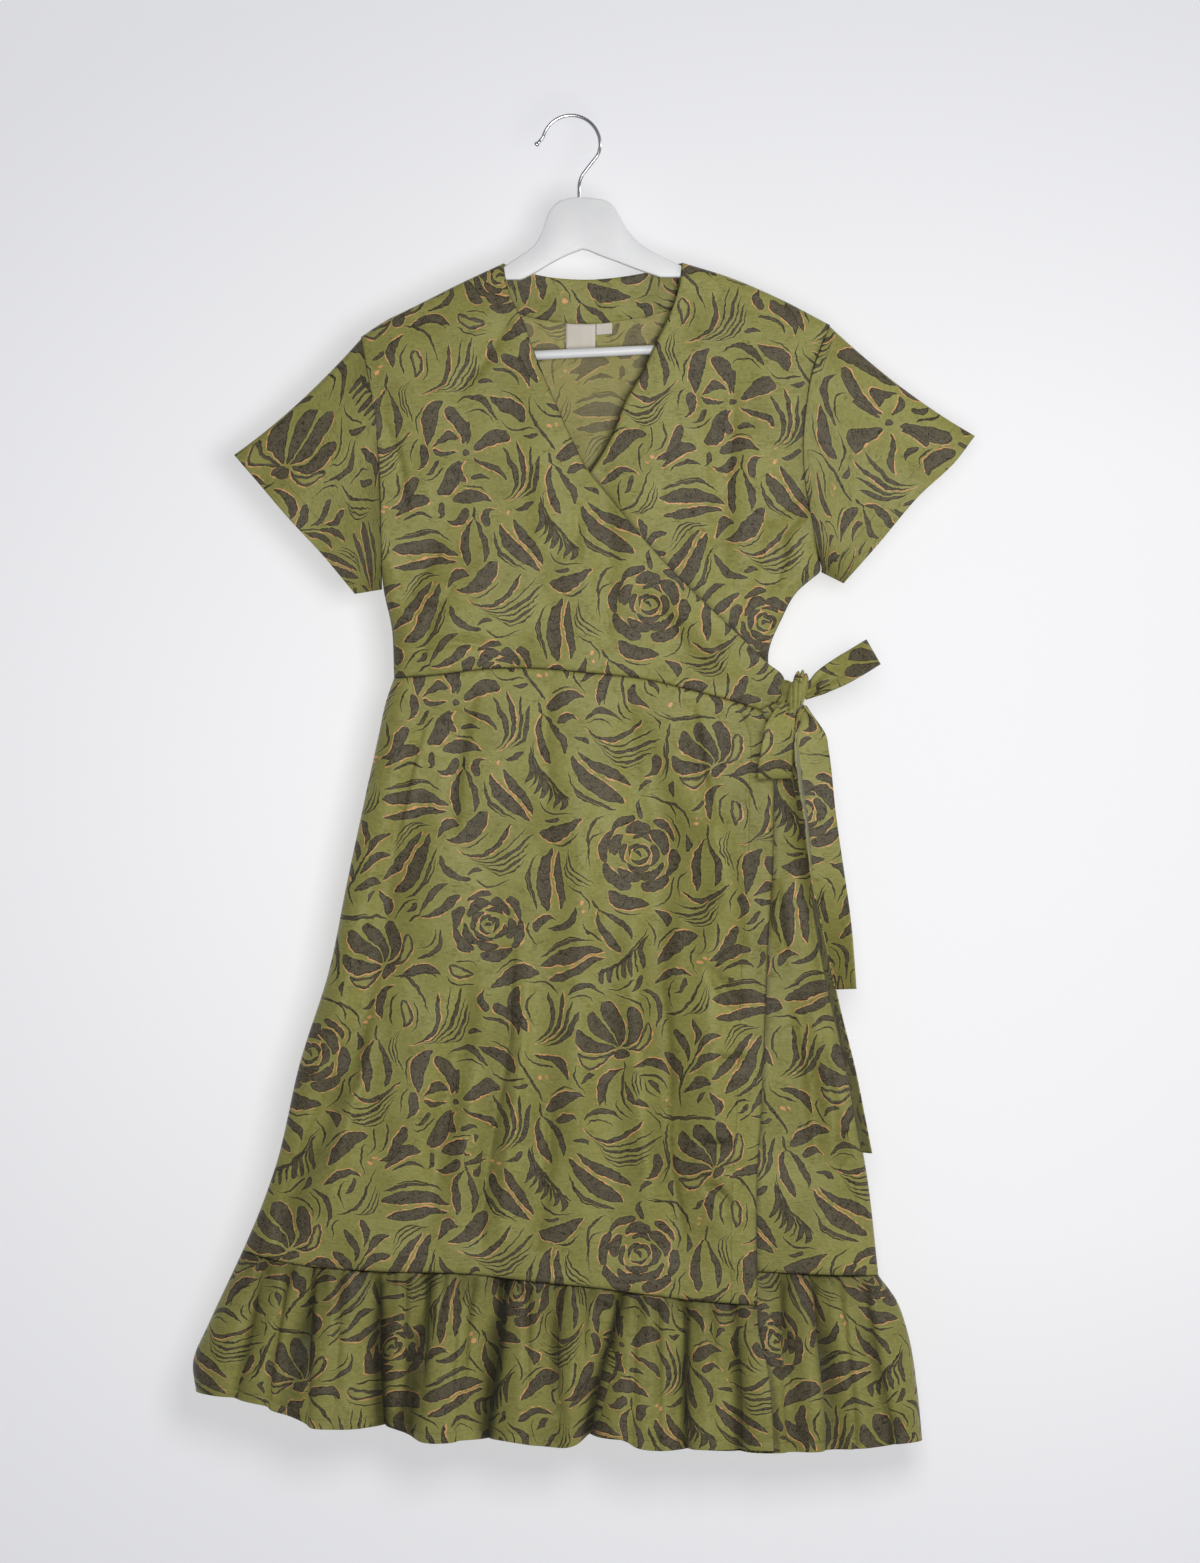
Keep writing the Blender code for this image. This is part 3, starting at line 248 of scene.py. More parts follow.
BACK_PLEATS = (
    (-306, -330, 4, 8, 6, 4, 0.5), (-268, -290, 4, 9, 8, 8, 0.7), (-234, -246, 3.6, 7, 5, 2.5, 0.4),
    (-196, -208, 4.4, 9, 9, 12, 0.8), (-158, -164, 3.6, 7, 5, 3, 0.4), (-128, -140, 4, 8, 6, 5, 0.5),
    (-84, -92, 4.4, 8, 9, 14, 0.9), (-48, -44, 3.6, 8, 5, 3, 0.4), (-20, -24, 4, 8, 6, 4, 0.5),
    (22, 30, 4.4, 9, 8, 11, 0.8), (58, 62, 3.6, 7, 5, 2, 0.4), (92, 104, 4, 8, 7, 6, 0.6),
    (134, 142, 4.4, 8, 8, 13, 0.9), (170, 182, 3.6, 8, 5, 3, 0.4), (206, 222, 4, 8, 6, 7, 0.6),
    (246, 264, 4, 8, 7, 5, 0.5), (284, 310, 4, 8, 5, 6, 0.5),
)
PLEAT_MEANDER = 2.2  # a pleat strays this far from a straight line
RUFFLE_FLARE = 6.0  # the hem stands this much further out than the body above it
RUFFLE_DROP = 150.0
RUFFLE_AT_SEAM = 0.3  # share of a trough's depth that it has at the seam
RUFFLE_HASTE = 1.9  # and it has all of it about half way down


# ---- tie: across, drop, way out from the mid-plane, slant and lean of its width in degrees, width ----
# Slant turns the width in the front plane, lean turns its right end out to the front.
KNOT_CENTRE = (225.5, 581.6, 26.0)
KNOT_SIZE = (20.0, 19.0, 44.0)
KNOT_LEAN = 14.0
KNOT_FOLDS = ((-0.19, 0.035, 0.16), (0.03, 0.03, 0.2), (0.2, 0.04, 0.14))  # place, width and depth
KNOT_WRAP_FOOT = -0.08
KNOT_STEP = 0.12
KNOT_CUT = (0.012, 0.155)
KNOT_CAGE = 1.46  # the cage's size to the soft block's
KNOT_FOOT = (0.62, 0.85)  # share of its width and thickness that the block has at its foot
TIE_ROOT = (  # from behind the over front's corner, where the tie is sewn on, into the knot
    (203, 575, 9.5, 80, 0, 20), (208, 577, 12.5, 82, 4, 25), (214, 580, 18, 84, 6, 30),
    (220, 583.5, 23, 88, 6, 32), (226, 586, 25, 90, 6, 28),
)
LOOP_UP = (
    (232, 578, 28, -62, 6, 12), (239.5, 574.4, 28.5, -62, 10, 15), (250, 567.5, 32, -62, 18, 23),
    (270, 556, 33.5, -62, 28, 31), (290, 544.5, 31, -62, 34, 34), (299.5, 538.5, 28, -62, 34, 34),
    (302, 537, 24.8, -62, 34, 34), (299, 539, 21.5, -62, 34, 34), (289, 545, 19, -62, 34, 34),
    (270, 556.5, 18, -62, 28, 31), (250, 568.5, 20, -62, 18, 22), (239, 575.5, 22.5, -62, 10, 15),
    (232, 579, 24, -62, 6, 12),
)
LOOP_DOWN = (
    (219, 590, 30, -30, -4, 14), (213, 600, 34.5, -18, -6, 22), (208.5, 613, 38, -6, -8, 30),
    (206, 635, 41, 0, -8, 33), (203.5, 652, 39.5, 1, -6, 34), (203, 661, 36.5, 2, -6, 34),
    (203, 663.5, 33.3, 2, -6, 34), (203, 660.5, 30.4, 2, -6, 34), (204, 651, 28.8, 1, -6, 34),
    (206.5, 634, 28, 0, -6, 33), (211, 614, 27.8, -3, -5, 29), (219, 604, 28.2, -6, -4, 19),
)
TAIL_LONG = (
    (225, 590, 23.5, 0, 4, 14), (224, 600, 25, 0, 40, 18), (223.5, 617, 31, 2, 84, 24),
    (225, 640, 36, 4, 97, 32), (228.5, 666, 38.5, 6, 98, 34), (234, 704, 39.5, 6, 97, 34),
    (237.5, 735, 40.5, 6, 96, 34), (240, 765, 41, 8, 92, 34), (244, 795, 41.5, 8, 84, 34),
    (252, 835, 42, 10, 80, 34), (264, 892, 41.5, 10, 79, 34), (280, 959, 39, 10, 77, 34),
    (288.5, 1003, 36, 8, 76, 34), (295, 1037, 33, 6, 75, 34),
)
TAIL_SHORT = (
    (230, 588, 22, -34, -6, 13), (235.5, 598, 19.5, -30, -6, 18), (238.5, 612, 16.8, -16, -8, 31),
    (239.5, 636, 17, 0, -4, 37), (247, 704, 18.5, 6, 0, 37), (256.5, 760, 19.5, 8, 8, 34),
    (264.5, 810, 23, 8, 26, 34), (272.5, 874, 28, 4, 46, 34),
)

PRINT_REACH = 6.5  # a face takes the strokes that lie no further than this from its middle
HOLLOW_LINE = 2.6  # width of the line round a hollow stroke
RIM = 0.9  # darker rim of a stroke
LINE_OUT = 1.15  # the pale line reaches this far out

# ---- creases of the hung cloth: half width, depth, way, lean ----
FRONT_CREASES = (
    (6, 3.9, ((-129, 431), (-152, 462), (-168, 492)), 0.5),
    (4, 2.2, ((-118, 470), (-140, 506), (-150, 545)), -0.3),
    (5, 2.5, ((7, 387), (5, 420), (4, 450)), -0.4),
    (9, -3.1, ((-30, 350), (-28, 400), (-31, 440)), 0.3),
    (12, -3.6, ((100, 480), (130, 520), (165, 560)), 0.2),
    (5, 3.1, ((214, 415), (212, 440), (205, 470)), 0.4),
    (6, 4.2, ((198, 405), (196, 440), (186, 478)), -0.4),
    (7, 3.4, ((244, 372), (226, 402), (204, 428)), 0.3),
    (8, 2.8, ((-60, 200), (-88, 245), (-120, 285)), 0.3),
    (6, 2.2, ((-190, 300), (-172, 345), (-166, 400)), 0.4),
    (4.5, 2, ((-183, 478), (-140, 492), (-96, 488)), 0.3),
    (5, 2.1, ((-176, 540), (-120, 528), (-66, 534)), -0.3),
    (5, 2, ((60, 470), (92, 500), (118, 538)), -0.3),
    (10, 4.2, ((58, 592), (64, 668), (83, 762), (92, 864)), 0.3),
    (6, 5.6, ((87, 852), (94, 896), (97, 940), (98, 1039), (114, 1120)), 0.6),
    (14, -4.2, ((60, 800), (66, 900), (70, 1010), (84, 1130)), 0.3),
    (3.4, 3.6, ((-57, 833), (-62, 932), (-76, 1012), (-85, 1074), (-89, 1130)), 0.7),
    (9, -2.8, ((-44, 850), (-50, 940), (-64, 1040), (-72, 1130)), 0.3),
    (10, 4.5, ((-100, 850), (-112, 930), (-126, 1000), (-140, 1090)), -0.4),
    (3.6, 3.1, ((-145, 600), (-162, 665), (-176, 734), (-186, 805)), 0.6),
    (9, 4.2, ((-175, 720), (-186, 800), (-206, 890), (-220, 980)), 0.4),
    (8, 5.9, ((-232, 960), (-262, 1030), (-284, 1092), (-292, 1130)), -0.5),
    (12, -3.9, ((-196, 900), (-222, 1000), (-244, 1100)), 0.3),
    (5, 2.8, ((-20, 980), (-24, 1060), (-38, 1140)), -0.4),
    (8, 2.5, ((-96, 572), (-112, 640), (-118, 720)), 0.4),
    (6, 2, ((-20, 570), (-26, 620), (-22, 690)), -0.4),
    (7, 2.5, ((120, 584), (128, 640), (142, 710)), 0.4),
    (11, -3.4, ((144, 700), (160, 780), (166, 850)), 0.3),
    (7, 4.8, ((138, 850), (150, 872), (168, 892)), -0.4),
    (5, 3.6, ((146, 940), (158, 945), (172, 940)), 0.4),
    (5, 4.5, ((128, 1024), (143, 1029), (162, 1027)), 0.3),
    (5, 3.1, ((134, 1068), (150, 1078), (160, 1094)), 0.3),
    (5, 3.6, ((206, 765), (209, 800), (214, 842)), 0.4),
    (8, 3.4, ((224, 880), (240, 960), (246, 1050)), -0.4),
    (10, -2.8, ((248, 900), (262, 990), (276, 1090)), 0.3),
    (6, 3.1, ((268, 1010), (282, 1080), (290, 1150)), 0.4),
)
BACK_CREASES = (
    (6, 3.4, ((-60, 300), (-50, 400), (-56, 520)), 0.4),
    (5, 2.6, ((-150, 330), (-128, 400), (-122, 480)), -0.4),
    (8, 2.9, ((66, 250), (78, 340), (70, 430)), 0.4),
    (5, 2.9, ((210, 340), (190, 400), (178, 470)), 0.4),
    (4.5, 2.3, ((170, 560), (110, 540), (44, 552)), -0.3),
    (4.5, 2.1, ((-160, 520), (-110, 540), (-70, 530)), 0.3),
    (5, 3.9, ((-128, 620), (-150, 760), (-164, 900), (-190, 1040)), 0.6),
    (8, 4.4, ((-40, 720), (-52, 860), (-48, 1000), (-60, 1130)), -0.5),
    (4, 3.4, ((24, 640), (34, 760), (30, 900)), 0.6),
    (9, 4.2, ((48, 900), (60, 1010), (56, 1130)), 0.4),
    (6, 4.4, ((136, 700), (150, 840), (160, 990), (176, 1130)), -0.6),
    (10, -3.4, ((-90, 700), (-112, 860), (-130, 1040)), 0.3),
    (11, -3.1, ((100, 640), (118, 760), (124, 900)), 0.3),
    (7, 4.4, ((-240, 930), (-266, 1020), (-284, 1120)), 0.5),
    (6, 3.6, ((236, 860), (250, 960), (268, 1080)), -0.5),
)
PLACKET_PUCKERS = (886, 903, 919, 943, 970, 991, 1002, 1015, 1026, 1047, 1055, 1093)
PUCKER_HALF = (1.8, 3.4)
PUCKER_REACH = (9.0, 17.0)
PUCKER_DEPTH = (0.8, 1.9)
UNEVEN_WAVES = 26
UNEVEN_LENGTHS = (38.0, 150.0)
UNEVEN_RISE = 0.0034  # of each wave's length
PUCKER_WAVES = 9
PUCKER_LENGTHS = (7.0, 19.0)
SEAM_PUCKERS = (9.0, 0.9)  # reach and rise at the waist seam
RIPPLE_WAVES = 7
RIPPLE_LENGTHS = (9.0, 34.0)
HEM_TURN = 10.0  # the hem's stitches lie this far up
CUFF_TURN = 22.0
HEM_GROOVE = 0.7
HEM_PROUD = 0.5
HEM_RIPPLE = 0.16
EDGE_ROLL = 2.7
EDGE_ROLL_REACH = 3.4
THREAD = 0.24  # half thickness
STITCH = 2.3
STITCH_PITCH = 2.9
STITCH_CLEAR = 3.0  # from the line's ends
PLACKET = 27.0  # the front edge's stitches lie this far in
RUFFLE_STEP = 2.4
BACK_RUFFLE_STEP = 3.4
LOOSE_END = 14.0  # at a strip's ends the pleats draw no cloth in
GATHER_PITCH = (5.0, 7.0, 9.0, 14.0, 22.0)
GATHER_WIDTH = (1.9, 3.8)
GATHER_DEPTH = (1.0, 4.2)
GATHER_FALL = (14.0, 24.0, 40.0, 70.0)
SLEEVE_ROUND = 150
UNDERARM_SHADE = 0.6  # painted shade: how much darker the sleeve's colour is made in the fold beside the armhole, most at the underarm
UNDERARM_REACH = 16.0
SLEEVE_TUCK = 1.8  # the sleeve's seam lies this far inside the armhole's edge
SLEEVE_UNDER = 0.7  # and this far below it
SLEEVE_RINGS = 60
FACING_FALL = 44.0
LABEL_GAP = 0.7
FACING_CLEAR = WALL + 1.0  # from the middle of the back's cloth to the middle of the facing
TIE_WIDTH = 34.0
TIE_COLUMNS = 17
TIE_ROWS = 10  # to each row of its table
TIE_RUCK = 3.2  # depth of the folds where the tie is drawn together

# ---- wood's ends: across and drop of its foot ----
WOOD_END_LEFT = (
    (-205, 236), (-203.5, 245), (-200, 251), (-195, 254), (-183, 255.5), (-178, 253), (-175.5, 248),
)
WOOD_END_RIGHT = (
    (199.7, 231), (202, 233.5), (207, 236), (213, 236.8), (218, 235), (223, 229.5), (226, 220),
)

CUT_AT = {  # where each piece is cut from the printed cloth: the shift of its places, across and up
    "front_over_cloth": (0, 0), "front_under_cloth": (63, 148), "back_cloth": (150, 60),
    "skirt_over_cloth": (10, 250), "skirt_under_cloth": (96, 84), "skirt_back_cloth": (40, 330),
    "ruffle_over_cloth": (20, 120), "ruffle_under_cloth": (120, 310), "ruffle_back_cloth": (70, 30),
    "sleeve_left_cloth": (10, 200), "sleeve_right_cloth": (180, 330), "facing_cloth": (30, 40),
    "tie_root_cloth": (70, 260), "loop_up_cloth": (40, 210), "loop_down_cloth": (190, 60),
    "tail_long_cloth": (250, 380), "tail_short_cloth": (90, 20),
}

# ---- room and camera, in metres ----
WALL_BEHIND = 0.075
FLOOR_LEVEL = -1.9
ROOM_SIZE = 9.0
FRAME_HIGH = 1.563
WALL_TONES = ((188, 188, 190), (192, 192, 194))
WALL_FAR_TONE = (152, 153, 157)  # painted shade where the room's light falls off
WALL_BRIGHT = (-0.4, 0.03, 0.0)  # less the brightest place, from the plane's middle
WALL_STRETCH = (0.6, 1.0, 0.0)  # the light falls off more slowly across than up and down
WALL_REACH = (0.4, 0.95)  # from the brightest place to the darkest
# painted light: the wall's own glow softens the shadows on it
WALL_GLOW = 0.55
CAMERA_AWAY = 6.0
CAMERA_PLACE = (0.029, -6.02, -0.6665)

# ---- colours of the print: ground, its low tone, fill, its cracks, rim, line ----
RIGHT_SIDE = [(156, 153, 87), (126, 123, 61), (99, 91, 71), (35, 30, 22), (52, 45, 29), (224, 162, 112)]
WRONG_SIDE = [(168, 160, 98), (148, 142, 82), (120, 111, 88), (88, 79, 60), (98, 89, 64), (208, 164, 112)]

# colour of the painted shade in seams, lapped edges, the ruffle's troughs and gathers and the underarm fold
PAINTED_SHADE_TONE = (30, 28, 16)

# ---- print: what a stroke looks like ----
PLAIN, EDGED, HOLLOW, SEED = 0, 1, 2, 3  # EDGED and HOLLOW carry a pale line on the side of their sign
TILE = (330.0, 400.0)  # repeat of the print; every other column drops half of it
PRINT_SEED = 5
CELL = 2.0  # the room in the print is kept in cells of this size
GROUP_REACH = 120.0
PRESSED = 1.14  # the strokes' widths are pressed out by this share
CLEAR = 1.7  # strokes keep this clear of each other
SWAY = 0.42  # a skewed stroke sways to both sides by this share of its half length
CROWD_REACH = 13.0
HEADINGS = 20
FLOW_PLAY = 30.0  # degrees that a stroke may stray from the flow
SLOTS = 4  # strokes that one face of the cloth can show
MARKS = ("Dark", "Rim", "Line", "Halo")  # what one stroke gives the cloth
NO_STROKE = (1e6, 1e6, 0.0, 1.0, 0.1, 0.0, 1.0, 0.0, 0.0)

# ---- lines and grids ----


def smooth(table, fractions):
    """Rows on a smooth curve through the table's rows, at fractions of the way along."""
    rows = np.array(table, float)
    runs = np.linalg.norm(np.diff(rows[:, :3], axis=0), axis=1)
    way = np.concatenate(([0.0], np.cumsum(runs)))
    slopes = np.gradient(rows, way, axis=0)
    at = np.clip(np.asarray(fractions, float), 0.0, 1.0) * way[-1]
    k = np.clip(np.searchsorted(way, at, side="right") - 1, 0, len(way) - 2)
    span = runs[k][..., None]
    f = (at - way[k])[..., None] / span
    start = rows[k] * (2 * f**3 - 3 * f**2 + 1) + slopes[k] * span * (f**3 - 2 * f**2 + f)
    end = rows[k + 1] * (3 * f**2 - 2 * f**3) + slopes[k + 1] * span * (f**3 - f**2)
    return start + end


def edge(*tables):
    """One fine line through smooth stretches, end to end."""
    return np.concatenate([smooth(table, np.linspace(0, 1, EDGE_POINTS)) for table in tables])


def lengths(line):
    """Way along a line, at each of its points."""
    return np.concatenate(([0.0], np.cumsum(np.linalg.norm(np.diff(line, axis=0), axis=1))))


def walk(line, fractions):
    """Places at fractions of a line's length."""
    way = lengths(line)
    at = np.asarray(fractions, float) * way[-1]
    return np.stack([np.interp(at, way, line[:, k]) for k in range(line.shape[1])], axis=-1)


def across_at(line, drop):
    order = np.argsort(line[:, 1], kind="stable")
    return np.interp(drop, line[order, 1], line[order, 0])


def drop_at(line, across):
    order = np.argsort(line[:, 0], kind="stable")
    return np.interp(across, line[order, 0], line[order, 1])


def above(line, drop):
    """The line down to a drop."""
    return line[line[:, 1] <= drop]


def shoulder_drop(across):
    """Top of the cloth; between the neck points the two lines go on up behind the hanger."""
    left, right = SHOULDER_LEFT[-1], SHOULDER_RIGHT[0]
    seams = drop_at(edge(SHOULDER_LEFT, SHOULDER_RIGHT), across)
    peak = np.interp(across, *zip(left, COLLAR_PEAK, right))
    return np.where((across > left[0]) & (across < right[0]), peak, seams)


def ease(share):
    """0 to 1 with soft ends."""
    share = np.clip(share, 0.0, 1.0)
    return share * share * (3 - 2 * share)


def bell(gap, width):
    return np.exp(-((gap / width) ** 2))


def quarter_round(share):
    """How far the cloth has come round an edge, a quarter of an ellipse."""
    share = np.clip(share, 0.0, 1.0)
    return np.sqrt(1 - (1 - share) ** 2)


def spaced(length, count):
    """Fractions of a length, in even steps but close together at both ends."""
    steps = np.array(EDGE_STEPS)
    middle = np.linspace(steps[-1], length - steps[-1], count + 1)
    return np.concatenate((steps[:-1], middle, length - steps[-2::-1])) / length


def panel_grid(top, foot, left, right, step):
    """Rows of places (across, drop) over a panel between its four edges."""
    height = max(lengths(left)[-1], lengths(right)[-1])
    width = max(lengths(top)[-1], lengths(foot)[-1])
    columns = max(3, round((width - 2 * EDGE_STEPS[-1]) / step))
    rows = max(3, round((height - 2 * EDGE_STEPS[-1]) / step))
    grid = []
    for t in spaced(height, rows):
        begin = walk(left, t)
        end = walk(right, t)
        s = spaced(np.hypot(*(end - begin)), columns)[:, None]
        corners = (1 - t) * ((1 - s) * top[0] + s * top[-1]) + t * ((1 - s) * foot[0] + s * foot[-1])
        between = (1 - t) * walk(top, s[:, 0]) + t * walk(foot, s[:, 0])
        grid.append(between + (1 - s) * begin + s * end - corners)
    return np.array(grid)


def seen_from(grid, side):
    """The same places in rows that start at one edge of the panel."""
    columns = grid.swapaxes(0, 1)
    return {"top": grid, "foot": grid[::-1], "left": columns, "right": columns[::-1]}[side]


def panel(edges, seams, step=STEP):
    """A panel's places between its top, foot, left and right edges, drawn in a little from its seams."""
    grid = panel_grid(*edges, step)
    for side in seams:
        rows = seen_from(grid, side)
        inward = rows[1] - rows[0]
        rows[0] += FLAT_SEAM * inward / np.linalg.norm(inward, axis=-1, keepdims=True)
    return grid


def inset_from(grid, side):
    """How far in each place lies from one edge of its panel."""
    steps = np.linalg.norm(np.diff(seen_from(grid, side), axis=0), axis=-1)
    inset = np.zeros(grid.shape[:2])
    seen_from(inset, side)[1:] = np.cumsum(steps, axis=0)
    return inset


# ---- how the cloth hangs ----


def near_way(grid, way, reach):
    """Where the grid is near a fold's way: which places, their signed gap to it and share along it."""
    line = smooth(way, np.linspace(0, 1, 8 * len(way)))
    low, high = line.min(axis=0) - reach, line.max(axis=0) + reach
    near = np.all((grid > low) & (grid < high), axis=-1)
    places = grid[near]
    gap = np.full(len(places), np.inf)
    along = np.zeros(len(places))
    steps = lengths(line)
    for start, end, before in zip(line, line[1:], steps):
        run = end - start
        size = np.hypot(*run)
        to = places - start
        t = np.clip(to @ run / size**2, 0, 1)
        off = to - t[:, None] * run
        side = np.sign(run[0] * to[:, 1] - run[1] * to[:, 0])
        far = np.hypot(off[:, 0], off[:, 1])
        closer = far < np.abs(gap)
        gap[closer] = (far * np.where(side == 0, 1, side))[closer]
        along[closer] = ((before + t * size) / steps[-1])[closer]
    return near, gap, along


def fold_depth(folds, grid):
    """Depth of the folds: a soft trough along each way, gone at both ends.

    A fourth value in a row leans the trough: it is steeper on one side.
    """
    total = np.zeros(grid.shape[:-1])
    for width, depth, way, *lean in folds:
        near, gap, along = near_way(grid, way, 3 * width)
        tilt = 1 + (lean[0] if lean else 0.0) * np.tanh(gap / width)
        grown = np.sin(np.clip(along, 0.0, 1.0) * pi) ** FOLD_TAPER
        total[near] += depth * grown * bell(gap, width * np.maximum(tilt, 0.2))
    return total


def way_down(grid, seam):
    """How far down its ruffle each place lies, 0 at the seam and 1 near the hem."""
    return np.clip((grid[..., 1] - drop_at(edge(seam), grid[..., 0])) / RUFFLE_DROP, 0.0, 1.0)


def ruffle_depth(ruffles, grid, seam):
    """Depth of the ruffle's troughs, from little at the seam to all at the hem."""
    down = way_down(grid, seam)
    total = np.zeros(grid.shape[:-1])
    for at_seam, at_hem, width, depth in ruffles:
        middle = at_seam + (at_hem - at_seam) * down
        total += depth * bell(grid[..., 0] - middle, width)
    grown = RUFFLE_AT_SEAM + (1 - RUFFLE_AT_SEAM) * ease(down * RUFFLE_HASTE)
    return total * grown - RUFFLE_FLARE * ease(down)


def pleated(grid, pleats, seam):
    """The pleats that the gathered seam throws: their depth, and how far they draw the cloth in."""
    down = way_down(grid, seam)
    depth = np.zeros(grid.shape[:-1])
    drawn = np.zeros(grid.shape[:-1])
    for rank, (at_seam, at_hem, top, foot, deep_top, deep_foot, squeeze) in enumerate(pleats):
        middle = at_seam + (at_hem - at_seam) * down + PLEAT_MEANDER * np.sin(4.2 * down + 2.1 * rank) * down
        width = top + (foot - top) * down
        deep = deep_top + (deep_foot - deep_top) * down
        gap = (grid[..., 0] - middle) / width
        depth += deep * np.exp(-gap * gap) * ease(0.25 + 7.0 * down)
        drawn -= squeeze * width * gap * np.exp(-gap * gap / 2.4) * ease(4.0 * down)
    return depth, drawn


def gathers(grid, seam, seed):
    """Small gathers that leave the ruffle's seam: uneven in place, depth and length."""
    across, drop = grid[..., 0], grid[..., 1]
    below = drop - drop_at(edge(seam), across)
    rng = np.random.default_rng(seed)
    total = np.zeros(grid.shape[:-1])
    at = across.min() - 10.0
    while at < across.max() + 10.0:
        at += rng.choice(GATHER_PITCH) * rng.uniform(0.8, 1.25)
        width = rng.uniform(*GATHER_WIDTH)
        depth = rng.uniform(*GATHER_DEPTH)
        fall = rng.choice(GATHER_FALL) * rng.uniform(0.7, 1.3)
        drift = rng.uniform(-0.16, 0.16)
        share = np.clip(below / fall, 0.0, 2.0)
        middle = at + drift * below
        total += depth * np.exp(-(share**2)) * bell(across - middle, width * (1 + 0.8 * share))
    return total


def unevenness(grid, seed, rise=1.0):
    """Low seeded rise and fall of cloth that has been worn and hung, longer down than across."""
    rng = np.random.default_rng(seed)
    total = np.zeros(grid.shape[:-1])
    for _ in range(UNEVEN_WAVES):
        length = rng.uniform(*UNEVEN_LENGTHS)
        heading = rng.normal(0.0, 0.6)
        wave = 2 * pi / length * (grid[..., 0] * cos(heading) + grid[..., 1] * sin(heading))
        total += rise * UNEVEN_RISE * length * np.sin(wave + rng.uniform(0, 2 * pi))
    return total


def puckers(grid, side, seed):
    """Small puckers that leave a seam at a right angle, near it only."""
    rng = np.random.default_rng(seed)
    reach, rise = SEAM_PUCKERS
    along = grid[..., 0] + grid[..., 1]
    total = np.zeros(grid.shape[:-1])
    for _ in range(PUCKER_WAVES):
        length = rng.uniform(*PUCKER_LENGTHS)
        total += np.sin(2 * pi * along / length + rng.uniform(0, 2 * pi)) * rng.uniform(0.3, 1.0)
    return 0.25 * rise * total * np.exp(-((inset_from(grid, side) - reach * 0.3) / reach) ** 2)


def turned_edge(grid, side, width, seed):
    """A turned and stitched edge: a band a little proud, a groove at its stitches, and small ripples."""
    inset = inset_from(grid, side)
    rng = np.random.default_rng(seed)
    along = grid[..., 1] if side in ("left", "right") else grid[..., 0]
    ripple = np.zeros(grid.shape[:-1])
    for _ in range(RIPPLE_WAVES):
        length = rng.uniform(*RIPPLE_LENGTHS)
        ripple += np.sin(2 * pi * (along + 0.4 * inset) / length + rng.uniform(0, 2 * pi))
    near = np.exp(-((inset - 0.6 * width) / width) ** 2)
    groove = HEM_GROOVE * bell(inset - width, 1.6)
    return groove - HEM_PROUD * ease((width - inset) / 2.0) + HEM_RIPPLE * ripple * near


def rolled(grid, side):
    """A clean folded edge: the cloth turns in over its last few millimetres."""
    return EDGE_ROLL * (1 - quarter_round(inset_from(grid, side) / EDGE_ROLL_REACH))


def placket_puckers(grid):
    """Short puckers across the front edge's stitches, each of its own depth and length."""
    inset = inset_from(grid, "right")
    total = np.zeros(grid.shape[:-1])
    for rank, drop in enumerate(PLACKET_PUCKERS):
        share = 0.5 + 0.5 * sin(2.7 * rank + 1)
        half = np.interp(share, (0, 1), PUCKER_HALF)
        reach = np.interp(1 - share, (0, 1), PUCKER_REACH)
        lean = 0.25 * sin(1.9 * rank)
        gap = grid[..., 1] - drop - lean * (inset - PLACKET)
        deep = np.interp(share, (0, 1), PUCKER_DEPTH)
        total += deep * bell(gap, half) * bell(inset - PLACKET + 3.0, reach)
    return total


def side_share(grid, sides):
    """0 at a side seam, 1 where the cloth is full depth; the seam opens into the armhole."""
    drop = grid[..., 1]
    share = np.ones(grid.shape[:-1])
    width = np.interp(drop, *zip(*SIDE_ROUND))
    for side, tables, underarm, inward in SIDE_SEAMS:
        if side in sides:
            opened = ease((underarm - drop) / UNDERARM_OPEN)
            gap = inward * (grid[..., 0] - across_at(edge(*tables), drop))
            share = np.minimum(share, gap / width + opened)
    return quarter_round(share)


def body_depth(grid, sides, folded=0.0, inset=0.0):
    """Way out from the mid-plane to the middle of the cloth, less the depth of its folds."""
    under = grid[..., 1] - shoulder_drop(grid[..., 0])
    over_arm = SHOULDER_ROUND * quarter_round(under / SHOULDER_ROUND)
    full = np.interp(grid[..., 1], *zip(*HALF_DEPTH)) - SHOULDER_ROUND
    room = full + SHOULDER_ROUND - FOLD_ROOM
    folded = np.where(folded > 0, room * np.tanh(folded / room), folded)
    hanging = (full - inset * ease(under / LAP_FALL) - folded) * ease(under / SHOULDER_FALL)
    return (over_arm + np.maximum(hanging, 0.0)) * side_share(grid, sides)


def standing(grid, out):
    """Points in space from places (across, drop) and the way out to the front."""
    return np.stack((grid[..., 0], -out, -grid[..., 1]), axis=-1)


# ---- the print: strokes on the cut cloth, in millimetres ----
# A stroke is across, up, angle, half length, half width, bend, point, skew, look.


def turned(across, up, angle):
    level, rise = cos(radians(angle)), sin(radians(angle))
    return across * level - up * rise, across * rise + up * level


def put(group, across, up, angle=0.0, size=1.0, flip=1):
    """A group of strokes moved, turned, sized and maybe mirrored."""
    placed = []
    for own_across, own_up, own_angle, half, wide, bend, point, skew, look in group:
        shift = turned(own_across * size, own_up * size * flip, angle)
        sided = look * flip if abs(look) in (EDGED, HOLLOW) else look
        heading = angle + own_angle * flip
        form = (heading, half * size, PRESSED * wide * size**0.7, bend * size * flip, point, skew, sided)
        placed.append((across + shift[0], up + shift[1], *form))
    return placed


def limb(across, up, angle, length, wide, bend=0.0, point=0.9, skew=0.0, look=PLAIN):
    """One stroke that starts at a place and runs off at an angle."""
    run = turned(length / 2, 0.0, angle)
    return (across + run[0], up + run[1], angle, length / 2, wide / 2, bend, point, skew, look)


